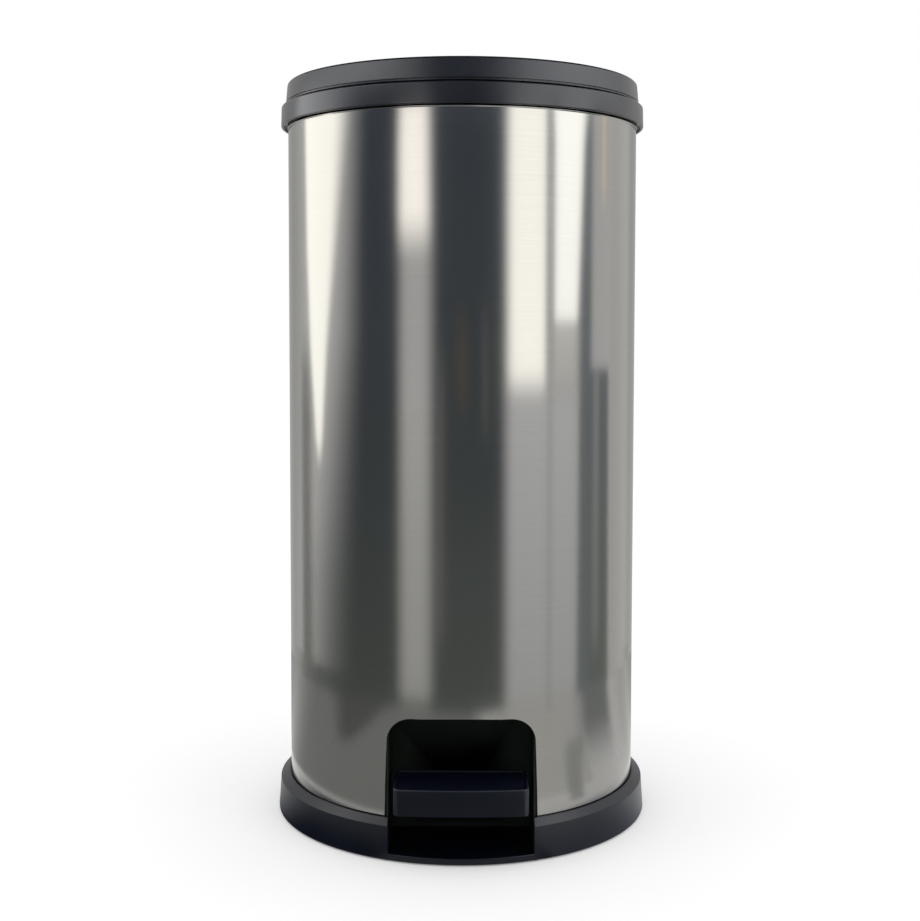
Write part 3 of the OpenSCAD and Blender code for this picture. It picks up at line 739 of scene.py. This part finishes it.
def pocket():
    """Housing that the pedal moves in: smooth arch, flange against the steel, tabs on the deck."""
    top, corner, t = 109.8, 18.0, 2.2
    edge_r = BODY_R - SHEET - 0.4
    arch = arch_outline(GAP_HALF + t, top + t, BASE_LOW + 2.8, corner + t)
    outer = slab("pocket", arch, (-edge_r, t - POCKET_BACK))
    combine(outer, [drum("round", -5, 200, edge_r)], "INTERSECT")
    flange = revolve("flange", [(edge_r - 2, 56), (edge_r, 56), (edge_r, 122.3), (edge_r - 2, 122.3)])
    combine(flange, [box_mesh("keep", (-GAP_HALF - 11, -200, 0), (GAP_HALF + 11, 0, 300))], "INTERSECT")
    tabs = [side_box("tab", side, 25, 51, (-POCKET_BACK, DECK_TOP), (19 - POCKET_BACK, TAB_TOP), 0.5)
            for side in (1, -1)]
    combine(outer, [flange] + tabs, "UNION")
    way = slab("way", arch_outline(GAP_HALF, top, -1, corner), (-300, -POCKET_BACK))
    rod_slot = box_mesh("slot", (-17, -POCKET_BACK - 1, 12), (17, t + 1 - POCKET_BACK, 46), 1.0)
    holes = [bar_mesh("hole", (x, POCKET_Y, 40), (x, POCKET_Y, 70), 1.6) for x in POCKET_XS]
    combine(outer, [way, rod_slot] + holes)
    return dress(outer, POCKET_PLASTIC, "can", "recess_plastic", "pedal_housing")


pocket()
pocket_screws = [((x, POCKET_Y, TAB_TOP), (0, 0, -1)) for x in POCKET_XS]
dress(studs("pocket_screws", pocket_screws, screw_outline(1.5, 7.5, 3, 1.8), cross=0.9),
      SCREW, "can", "screw_steel", "housing_screws")


# ---- lever

TILT = radians(5.5)
LEVER_FRONT = pedal_low[Y] - AXLE_Y + 11
LEVER_BACK = ROD_Y - AXLE_Y
lever_axes = Matrix.Translation(Vector((0, AXLE_Y, AXLE_Z)) * MM) @ Matrix.Rotation(-TILT, 4, "X")
rivet_places = [(x, LEVER_FRONT + y) for x in (-7, 7) for y in (10, 30)]


def lever():
    """Pressed channel with round bends, bored for the axle, the rod and the rivets."""
    half, t, up, down = 15.0, 2.0, 4.0, -7.0
    w = half - t
    profile = rounded([(-half, down, 0.4), (-half, up, 2.6), (half, up, 2.6), (half, down, 0.4),
                       (w, down, 0.4), (w, up - t, 1), (-w, up - t, 1), (-w, down, 0.4)])
    channel = slab("lever", profile, (LEVER_FRONT, LEVER_BACK + 6))
    cutters = [bar_mesh("bore", (-20, 0, 0), (20, 0, 0), 3.06),
               bar_mesh("rod_hole", (0, LEVER_BACK + 0.5, -1), (0, LEVER_BACK + 0.5, 8), 3.15)]
    cutters += [bar_mesh("hole", (x, y, -1), (x, y, 8), 2.5) for x, y in rivet_places]
    combine(channel, cutters)
    channel.data.transform(lever_axes)
    return dress(channel, PRESSED, "pedal", "pressed_steel", "pedal_lever")


lever()
rivets = studs("pedal_rivets_round", [((x, y, 2.0), (0, 0, 1)) for x, y in rivet_places],
               rounded([(0, -1.4, 0), (2.6, -1.4, 1.2), (4, 0, 0.1), (2.5, 0, 0), (2.5, 7, 0), (0, 7, 0)], 5))
rivets.data.transform(lever_axes)
dress(rivets, SCREW, "pedal", "screw_steel", "pedal_rivets")


# ---- hinge hood, behind

WELL_DEPTH = 1.8  # how far the hood's screw heads sit in


def hood():
    """Cover over the hinge: round corners and edges, open on top, two deep screw wells."""
    half, corner, thick, front = 47.0, 6.0, 2.0, 100.0
    rear, low, high = hood_high[Y], hood_low[Z], hood_high[Z]

    def plan(inset, z):
        """The hood's outline at height z, drawn in by inset."""
        w, end, r = half - inset, rear - inset, corner - inset
        corners = [(-w, front, 0), (w, front, 0), (w, end, r), (-w, end, r)]
        return [(x, y, z) for x, y in rounded(corners, 10)]

    edge = 1.6
    rings = [plan(edge * (1 - out), low + edge * up) for up, out in quarter(6)]
    rings += [plan(0, high - 0.5), plan(0.15, high - 0.15), plan(0.5, high)]
    shell = loft("hinge_hood", rings)
    inner = [plan(thick, low + thick), plan(thick, high + 5)]
    hollow = loft("hollow", [[(x, y if y > front else 90.0, z) for x, y, z in ring] for ring in inner])
    combine(shell, [hollow])
    bosses = [bar_mesh("boss", (x, 120, HOOD_Z), (x, rear - 1, HOOD_Z), 4) for x in HOOD_XS]
    combine(shell, bosses, "UNION")
    cutters = [drum("drum", 400, 700, BODY_R + 0.2), drum("neck", COLLAR_LOW - 3.5, 700, COLLAR_R + 0.2)]
    for x in HOOD_XS:
        cutters.append(bar_mesh("hole", (x, 100, HOOD_Z), (x, 200, HOOD_Z), 1.6))
        cutters.append(bar_mesh("well", (x, rear - WELL_DEPTH, HOOD_Z), (x, 200, HOOD_Z), 3.4))
    combine(shell, cutters)
    return dress(shell, COLLAR_PLASTIC, "can", "collar_plastic", "hinge_cover")


hood()
hood_screws = [((x, hood_high[Y] - WELL_DEPTH, HOOD_Z), (0, -1, 0)) for x in HOOD_XS]
dress(studs("hood_screws", hood_screws, screw_outline(1.5, 14.5, 3.2, 1.6), cross=1.0),
      SCREW, "can", "screw_steel", "hinge_cover_screws")


# ---- bucket

def bucket():
    """Lift-out bucket: tapered wall, round floor corner, flange with a turned edge, lugs for the wire."""
    low_r, t, flange_r = 120.0, 2.0, 137.5
    pail = revolve("bucket", rounded([
        (0, BUCKET_LOW + 0.6, 0), (low_r - 22, BUCKET_LOW + 0.6, 2), (low_r - 19, BUCKET_LOW, 1),
        (low_r, BUCKET_LOW, 5.0), (BUCKET_R, LEDGE_Z - 3, 0), (BUCKET_R, LEDGE_Z, 0.2),
        (flange_r, LEDGE_Z, 0.3), (flange_r, LEDGE_Z + 2, 1.0), (BUCKET_R - t, LEDGE_Z + 2, 1.2),
        (BUCKET_R - t, LEDGE_Z - 3, 0), (low_r - t, BUCKET_LOW + t, 4.0), (low_r - 19, BUCKET_LOW + t, 1),
        (low_r - 22, BUCKET_LOW + t + 0.6, 2), (0, BUCKET_LOW + t + 0.6, 0),
    ], 6))
    lug_low, lug_high = (-6, LEDGE_Z + 1), (6, BAIL_Z + 3.6)
    combine(pail, [side_box("lug", side, 133.5, 136.5, lug_low, lug_high, 0.9) for side in (-1, 1)], "UNION")
    combine(pail, [box_mesh("notch", (-11.5, BUCKET_R, LEDGE_Z - 1), (11.5, 260, 700)),
                   bar_mesh("bore", (-138, 0, BAIL_Z), (138, 0, BAIL_Z), 2.06)])
    return dress(pail, BUCKET_PLASTIC, "can", "bucket_plastic", "inner_bucket")


def bail_points(angles):
    return [(BAIL_R * cos(a), BAIL_R * sin(a), BAIL_Z) for a in angles]


def handle():
    """Wire handle folded down over the front half, its ends bent out through the lugs."""
    bend, end, wire_r, end_r = 3.2, 137.3, 2.0, 1.5
    path = [(end, 0, BAIL_Z), (BAIL_R + bend, 0, BAIL_Z)]
    path += [(BAIL_R + bend - bend * inward, -bend * forward, BAIL_Z) for forward, inward in quarter(8)[1:]]
    out_and_bend = path[:]
    start = atan2(-bend, BAIL_R)
    path += bail_points([start + (-pi - 2 * start) * k / 96 for k in range(1, 96)])
    path += [(-x, y, z) for x, y, z in reversed(out_and_bend)]
    wire = tube("handle_wire", path, [end_r] + [wire_r] * (len(path) - 2) + [end_r], 24)
    return dress(wire, WIRE, "can", "wire_steel", "bucket_handle")


def grip():
    """Moulded grip on the wire, round at its ends, with shallow finger waves."""
    # half_span, tip and turns are degrees along the wire's arc; tip is the length of a round end
    half_span, tip, outer, bore, wave, waves = 18.0, 1.1, 4.0, 2.0, 0.16, 4
    turns = [-half_span + tip * along for along, out in quarter(8)]
    radii = [bore + (outer - bore) * out for along, out in quarter(8)]
    for k in range(1, 60):
        turns.append(-half_span + tip + (2 * half_span - 2 * tip) * k / 60)
        radii.append(outer - wave * (1 - cos(2 * pi * (k / 60) * waves)))
    turns += [-t for t in reversed(turns[:9])]
    radii += list(reversed(radii[:9]))
    path = bail_points([radians(270 + t) for t in turns])
    return dress(tube("grip", path, radii, 32), BUCKET_PLASTIC, "can", "bucket_plastic", "handle_grip")


bucket()
handle()
grip()


# ---- underside of the lid

LINER_Z = LID_LOW + 5.8
LINER_RIM = LID_LOW + 2.3
ARM_Z = LINER_Z - 3
lid_screw_places = [(x, y) for x in (-22, 22) for y in (104, 126)]


def liner():
    """Panel that closes the lid's underside, with a raised rim, and the notch for the arm."""
    out = LID_R - 2.4
    rim_r = LEDGE_R + 0.5
    panel = revolve("lid_panel", rounded([
        (0, LINER_Z + 0.5, 0), (LEDGE_R - 34, LINER_Z + 0.5, 2), (LEDGE_R - 30, LINER_Z, 2),
        (rim_r, LINER_Z, 1.2), (rim_r, LINER_RIM, 0.8), (out, LINER_RIM, 0.6), (out, LINER_RIM + 8.5, 0.4),
        (out - 2, LINER_RIM + 8.5, 0.4), (out - 2, LINER_RIM + 2, 0.4), (LEDGE_R + 2.5, LINER_RIM + 2, 0.8),
        (LEDGE_R + 2.5, LINER_Z + 2, 1.0), (0, LINER_Z + 2, 0),
    ]))
    cutters = [box_mesh("notch", (-33.4, 120, 500), (33.4, 170, LINER_Z))]
    cutters += [bar_mesh("hole", (x, y, LINER_Z - 2), (x, y, LINER_Z + 4), 1.6) for x, y in lid_screw_places]
    combine(panel, cutters)
    return dress(panel, LINER_PLASTIC, "lid", "liner_plastic", "lid_liner")


liner()
dress(studs("arm_screws", [((x, y, ARM_Z), (0, 0, 1)) for x, y in lid_screw_places],
            screw_outline(1.5, 9.5, 3, 1.6), cross=0.9), SCREW, "lid", "screw_steel", "lid_arm_screws")


bumper_l = LINER_RIM - COLLAR_TOP - 0.3
bumpers = studs("bumpers", round_places(LEDGE_R + 3.8, (30, 150, 210, 330), COLLAR_RIM),
                rounded([(0, 0, 0), (2.6, 0, 0.7), (2.6, bumper_l, 0), (0, bumper_l, 0)], 5))
dress(bumpers, RUBBER, "lid", "rubber", "lid_bumpers")


# ---- feet

foot_outline = rounded([(0, 0.5, 0), (4.5, 0.5, 0.3), (5.2, 0, 0.3), (8.5, 0, 0.7), (8.5, 2.5, 0.5),
                        (3.4, 2.5, 0.2), (3.4, 8.5, 0.6), (0, 8.5, 0)], 4)
feet = studs("feet", round_places(FOOT_R, FOOT_ANGLES, 0), foot_outline)
dress(feet, RUBBER, "can", "rubber", "rubber_feet")


# ---- studio

def stage_floor():
    """A round pale floor; past the can's foot it also glows a little where it is seen directly."""
    bm = bmesh.new()
    bmesh.ops.create_circle(bm, cap_ends=True, segments=96, radius=14.0)
    for v in bm.verts:
        v.co.z = cad_box[0].z
    ob = add_object("studio_floor", bm, weighted=False)
    n = material_nodes("studio_floor")
    x, y, _ = n.add("SeparateXYZ", {0: n.place()}).outputs
    away = n.math("SQRT", n.weigh((x, x), (y, y)))
    glowing = n.math("MULTIPLY", n.seen(), n.spread(away, 0.12, 0.16, 0.0, 1.0))
    paint = n.add("BsdfDiffuse", {"Color": (0.86, 0.86, 0.86)})
    glow = n.add("Emission", {"Color": (1, 1, 1), "Strength": n.math("MULTIPLY", glowing, 0.22)})
    ob.data.materials.append(n.show(n.add("AddShader", {0: paint.outputs[0], 1: glow.outputs[0]})))
    return ob


def card_material(name, colour, strength, top_colour):
    """A glow that fades out at the card's edges, and may change from colour to top_colour with height."""
    n = material_nodes(name)
    fade, level, rise = (n.add("Attribute", attribute_name=layer).outputs["Fac"]
                         for layer in ("fade", "level", "rise"))
    glow = n.add("Emission", {"Color": n.mix(rise, colour, top_colour) if top_colour else colour,
                              "Strength": n.math("MULTIPLY", level, strength)})
    clear = n.add("BsdfTransparent")
    material = n.show(n.add("MixShader", {0: fade, 1: clear.outputs[0], 2: glow.outputs[0]}))
    material.cycles.emission_sampling = "NONE"
    return material


def ease(t):
    t = max(0.0, min(1.0, t))
    return t * t * (3 - 2 * t)


def card(name, rows, colour, strength=1.0, soft=(0.01, 0.01), radius=0.55, alpha=1.0, flat=None,
         top_colour=None):
    """A curved card standing round the can, or a level one at the height given by flat; only gloss sees it.
    rows: (height, or radius of a level card, in m, left and right edge, left and right softness in degrees,
    level), from low to high. Degrees run from the camera's side, positive to the picture's right.
    soft: how far the low and the high end fade, in m."""
    bm = bmesh.new()
    fade, level, rise = (bm.verts.layers.float.new(layer) for layer in ("fade", "level", "rise"))
    across, up = 60, 72
    low, high = rows[0][0], rows[-1][0]
    grid = []
    for j in range(up + 1):
        z = low + (high - low) * j / up
        k = max([i for i in range(len(rows) - 1) if rows[i][0] <= z + 1e-9] or [0])
        t = (z - rows[k][0]) / (rows[k + 1][0] - rows[k][0])
        left, right, soft_l, soft_r, glow = (p + (q - p) * t for p, q in zip(rows[k][1:], rows[k + 1][1:]))
        ends = ease((z - low) / soft[0]) * ease((high - z) / soft[1])
        line = []
        for i in range(across + 1):
            turn = left + (right - left) * i / across
            x, y = sin(radians(turn)), -cos(radians(turn))
            v = bm.verts.new((x * radius, y * radius, z) if flat is None else (x * z, y * z, flat))
            v[fade] = alpha * ends * ease((turn - left) / soft_l) * ease((right - turn) / soft_r)
            v[level] = glow
            v[rise] = (z - low) / (high - low)
            line.append(v)
        grid.append(line)
    for j in range(up):
        for i in range(across):
            bm.faces.new((grid[j][i], grid[j][i + 1], grid[j + 1][i + 1], grid[j + 1][i]))
    ob = add_object(name, bm, weighted=False)
    ob.data.materials.append(card_material(name, colour, strength, top_colour))
    for ray in ("camera", "diffuse", "shadow", "transmission"):
        setattr(ob, "visible_" + ray, False)
    return ob


def even(low, high, left, right, soft_left, soft_right):
    """The rows of a card with the same edges and level all the way up."""
    return [(z, left, right, soft_left, soft_right, 1) for z in (low, high)]


MOSS = (0.89, 1.0, 0.9)
SLATE = (0.83, 1.0, 1.36)
COOL = (0.9, 1.0, 1.08)
WARM = (1.0, 0.985, 0.93)
GREY = (1.0, 1.0, 0.97)
SKY = (0.98, 1.0, 1.02)
WHITE = (1.0, 1.0, 1.0)
UNDER = -0.02  # standing cards start under the floor, so that no seam shows

stage = [
    stage_floor(),
    # dim cards standing round the can: the room that the steel shows between its bright windows
    card("flag_left", [(UNDER, -132, -30, 68, 9, 0.17), (0.12, -123, -30, 62, 9, 0.14),
         (0.27, -99, -30, 42, 9, 0.12), (0.4, -83, -30, 28, 9, 0.12), (0.5, -79, -30, 24, 9, 0.11),
         (0.6, -76, -30, 22, 9, 0.11), (0.65, -76, -20, 22, 9, 0.1), (0.7, -76, -20, 22, 9, 0.14)], MOSS,
         radius=0.56, top_colour=SLATE),
    card("flag_middle", [(UNDER, -22, 29, 10, 9, 0.185), (0.12, -22, 29, 10, 9, 0.17),
         (0.25, -22, 29, 10, 9, 0.135), (0.6, -22, 28, 10, 9, 0.115), (0.68, -22, 28, 10, 9, 0.16),
         (0.71, -30, 38, 14, 14, 0.27), (0.86, -30, 38, 14, 14, 0.27)], MOSS, top_colour=SLATE),
    card("flag_right", [(UNDER, 68, 84, 6, 6, 0.34), (0.44, 69, 84, 6, 5, 0.34),
         (0.655, 73, 84, 5, 5, 0.4)], COOL, radius=0.57),
    card("flag_right_low", [(UNDER, 69, 103, 6, 5, 0.31), (0.365, 71, 100, 6, 3, 0.31)], MOSS,
         soft=(0.01, 0.012), radius=0.58, top_colour=COOL),
    card("line_low", [(0.02, 82, 91, 3, 3, 0.52), (0.36, 82, 90, 3, 3, 0.8)], GREY, soft=(0.06, 0.012),
         radius=0.566, alpha=0.6),
    card("dim_side", [(UNDER, 97, 132, 8, 14, 0.86), (0.65, 97, 132, 8, 14, 0.93)], GREY, radius=0.592),
    card("dim_strip", [(UNDER, -42, -8, 4, 4, 0.76), (0.32, -42, -8, 4, 4, 1)], GREY, radius=0.595),
    card("dim_right", [(UNDER, 14, 75, 6, 6, 0.86), (0.34, 14, 75, 6, 6, 1.12)], (0.99, 1.0, 1.02),
         soft=(0.01, 0.02), radius=0.59),
    card("line_left", [(UNDER, -119, -97, 6, 12, 0.42), (0.3, -119, -99, 6, 10, 0.44),
         (0.42, -119, -103, 6, 8, 0.6)], GREY, soft=(0.01, 0.08), radius=0.565),
    card("line_middle", [(UNDER, 47.5, 53.5, 2.5, 2.5, 1), (0.652, 47, 53, 2.5, 2.5, 1)],
         (0.6, 0.61, 0.6), radius=0.525, alpha=0.5),
    card("back", [(UNDER, 105, 258, 36, 36, 0.56), (0.66, 105, 258, 36, 36, 0.5),
         (0.7, 105, 258, 36, 36, 0.62), (0.86, 105, 258, 36, 36, 0.62), (0.9, 105, 258, 36, 36, 0.08),
         (1.2, 105, 258, 36, 36, 0.08)], GREY, soft=(0.01, 0.2), radius=0.6),
    # a dark ring above, and a dark level one in front of the lid's edge
    card("upper_dark", even(0.85, 1.25, -96, 96, 8, 8), (0.03, 0.03, 0.03), soft=(0.04, 0.04),
         radius=0.535),
    card("lid_shade", even(0.06, 0.27, -140, 140, 20, 20), (0.02, 0.02, 0.02), soft=(0.02, 0.02),
         flat=0.7),
    # level ones just over the floor: what the steel's lower part, the base and the pedal see
    card("floor_sides", even(0.21, 0.68, 96, 266, 24, 40), (0.72, 0.72, 0.7), flat=0.0026),
    card("floor_back", even(0.21, 0.68, 125, 235, 20, 20), (0.42, 0.42, 0.41), flat=0.0028),
    card("floor_shade", [(0.22, -150, 22, 54, 12, 1), (0.66, -150, 14, 54, 14, 1)], (0.26, 0.27, 0.26),
         soft=(0.01, 0.02), alpha=0.85, flat=0.003),
    card("floor_dark_left", [(0.36, -76, -64, 8, 8, 1), (0.58, -89, -34, 20, 8, 1)],
         (0.19, 0.195, 0.19), soft=(0.06, 0.005), flat=0.0036),
    card("floor_dim_right", [(0.25, 18, 75, 6, 6, 1), (0.64, 14, 75, 6, 6, 1)], (0.82, 0.82, 0.79),
         soft=(0.01, 0.005), flat=0.004),
    card("floor_streak", [(0.222, 50, 63, 5, 4, 1), (0.42, 57, 76, 6, 5, 1)], (0.5, 0.51, 0.51),
         soft=(0.01, 0.05), alpha=0.85, flat=0.0042),
    card("floor_dark_right", [(0.24, 62, 104, 14, 12, 1), (0.61, 66, 102, 14, 5, 1)],
         (0.35, 0.37, 0.37), soft=(0.22, 0.005), flat=0.0044),
    card("near_left", even(0.15, 0.225, -109, 31, 50, 5), (0.02, 0.028, 0.045), soft=(0.002, 0.012),
         flat=0.0018),
    card("near_front", even(0.225, 0.43, -33, 31, 12, 12), (0.05, 0.061, 0.088), soft=(0.03, 0.08),
         flat=0.0058),
    card("near_lip", even(0.15, 0.176, -27, 27, 6, 6), (0.34, 0.36, 0.36), soft=(0.002, 0.006),
         flat=0.002),
    card("near_right", even(0.15, 0.225, 26, 96, 6, 40), (0.35, 0.38, 0.41), soft=(0.002, 0.012),
         flat=0.0016),
    # bright cards: the windows in the steel
    card("box_left", [(0.24, -95, -92, 1.2, 1.2, 1), (0.38, -105, -84, 4, 5, 1),
         (0.49, -109, -75, 4, 9, 1), (0.652, -111, -62, 4, 18, 1)], WARM, 2.9, soft=(0.05, 0.012),
         radius=0.54),
    card("box_left_strip", [(0.47, -38.5, -14, 8, 8, 1), (0.642, -38.5, -15, 8, 8, 1)],
         (1.0, 0.96, 0.91), 2.9, soft=(0.06, 0.01), radius=0.535),
    card("box_right", [(0.325, 22.5, 48.5, 7, 2.5, 1), (0.652, 22, 48.5, 7, 2.5, 1)], WARM, 2.85,
         soft=(0.04, 0.012), radius=0.545),
    card("box_right_outer", [(0.33, 52, 70, 2.5, 4, 0.37), (0.408, 52, 70.5, 2.5, 4, 0.42),
         (0.418, 52, 71, 2.5, 4, 0.95), (0.6, 52, 76, 2.5, 6, 1), (0.652, 50.5, 80, 2.0, 8, 1)],
         (1.0, 1.0, 0.965), 3.05, soft=(0.04, 0.012), radius=0.53),
    # what the collar sees, and above it what the lid sees
    card("collar_left", [(0.642, -117, -49, 10, 38, 1), (0.705, -110, -49, 16, 38, 0.8)],
         (0.98, 0.99, 1.03), 3.9, soft=(0.012, 0.012), radius=0.542),
    card("collar_right", even(0.642, 0.705, 4, 112, 46, 44), SKY, 2.7, soft=(0.012, 0.012), radius=0.542),
    card("lid_left", even(0.695, 0.87, -108, -13, 52, 42), SKY, 3.6, soft=(0.014, 0.03), radius=0.544),
    card("lid_right", even(0.695, 0.87, 6, 116, 50, 56), SKY, 3.4, soft=(0.014, 0.03), radius=0.544),
    # high ones: at the sides for the base ring's bevel, and overhead for every face that looks up
    card("upper_left", [(0.86, -128, -90, 12, 8, 0.8), (1.2, -126, -90, 12, 8, 0.55)], GREY,
         soft=(0.03, 0.02)),
    card("upper_right", [(0.86, 90, 124, 8, 12, 2.9), (1.2, 90, 124, 8, 12, 3.6)], GREY, soft=(0.03, 0.02)),
    card("overhead", even(0.15, 1.6, -180, 180, 0.1, 0.1), WHITE, 2.35, soft=(0.1, 0.5), flat=2.0),
    card("overhead_right", even(0.15, 1.6, 15, 165, 40, 40), WHITE, 3.2, soft=(0.1, 0.5), flat=1.98),
    # faint ones: a warm line at the right, two dim streaks and a warm glow in the dark middle
    card("line_right", even(0.52, 0.65, 89, 93, 2, 2), (1.0, 0.8, 0.52), 1.9, soft=(0.05, 0.01),
         radius=0.525, alpha=0.8),
    card("streak_left", [(0.06, -15, -8, 3, 3, 1), (0.42, -14, -8, 3, 3, 1)], (1.0, 0.99, 0.94), 0.28,
         soft=(0.05, 0.1), radius=0.52, alpha=0.8),
    card("streak_middle", even(0.27, 0.46, 10.5, 14.5, 1.5, 1.5), (1.0, 1.0, 0.96), 0.26, soft=(0.06, 0.08),
         radius=0.52, alpha=0.7),
    card("glow_middle", even(0.3, 0.45, -5, 5, 5, 5), (1.0, 0.78, 0.55), 0.24, soft=(0.06, 0.08),
         radius=0.515, alpha=0.6),
]

# the world lights the can softly, and is white where it is seen directly
scene = bpy.context.scene
scene.world = bpy.data.worlds.new("studio")
sky = Nodes(scene.world, "OutputWorld")
soft = sky.add("Background", {"Color": WHITE, "Strength": 0.92})
white = sky.add("Background", {"Color": WHITE, "Strength": 1.0})
sky.show(sky.add("MixShader", {0: sky.seen(), 1: soft.outputs[0], 2: white.outputs[0]}))

LAMP_AIM = Vector((0, 0, 0.3))


def lamp(name, place, width, power, colour):
    """A square soft lamp that points at the can and doesn't show in the gloss."""
    data = bpy.data.lights.new(name, "AREA")
    data.shape = "RECTANGLE"
    data.size = data.size_y = width
    data.energy = power
    data.color = colour
    ob = bpy.data.objects.new(name, data)
    scene.collection.objects.link(ob)
    ob.location = place
    ob.rotation_euler = (LAMP_AIM - Vector(place)).to_track_quat("-Z", "Y").to_euler()
    ob.visible_glossy = False


lamp("key", (1.9, -1.5, 1.9), 1.4, 6.0, (1.0, 0.99, 0.97))
lamp("fill", (-2.1, -0.9, 1.6), 1.4, 5.0, (0.98, 0.99, 1.0))
lamp("top", (0.0, 0.4, 2.8), 2.0, 4.0, WHITE)

CAMERA_PLACE = Vector((0.0, -1.1925, 0.4089))
PITCH = 0.0584  # radians below level
ROLL = 0.0018
camera_data = bpy.data.cameras.new("camera")
camera_data.sensor_width = 36.0
camera_data.lens = 54.82
camera_data.shift_x = -0.0019
camera_data.shift_y = -0.0585
camera = bpy.data.objects.new("camera", camera_data)
scene.collection.objects.link(camera)
camera.matrix_world = (Matrix.Translation(CAMERA_PLACE) @ Matrix.Rotation(pi / 2 - PITCH, 4, "X")
                       @ Matrix.Rotation(ROLL, 4, "Z"))
scene.camera = camera
scene.view_settings.view_transform = "Standard"

bpy.context.view_layer.update()
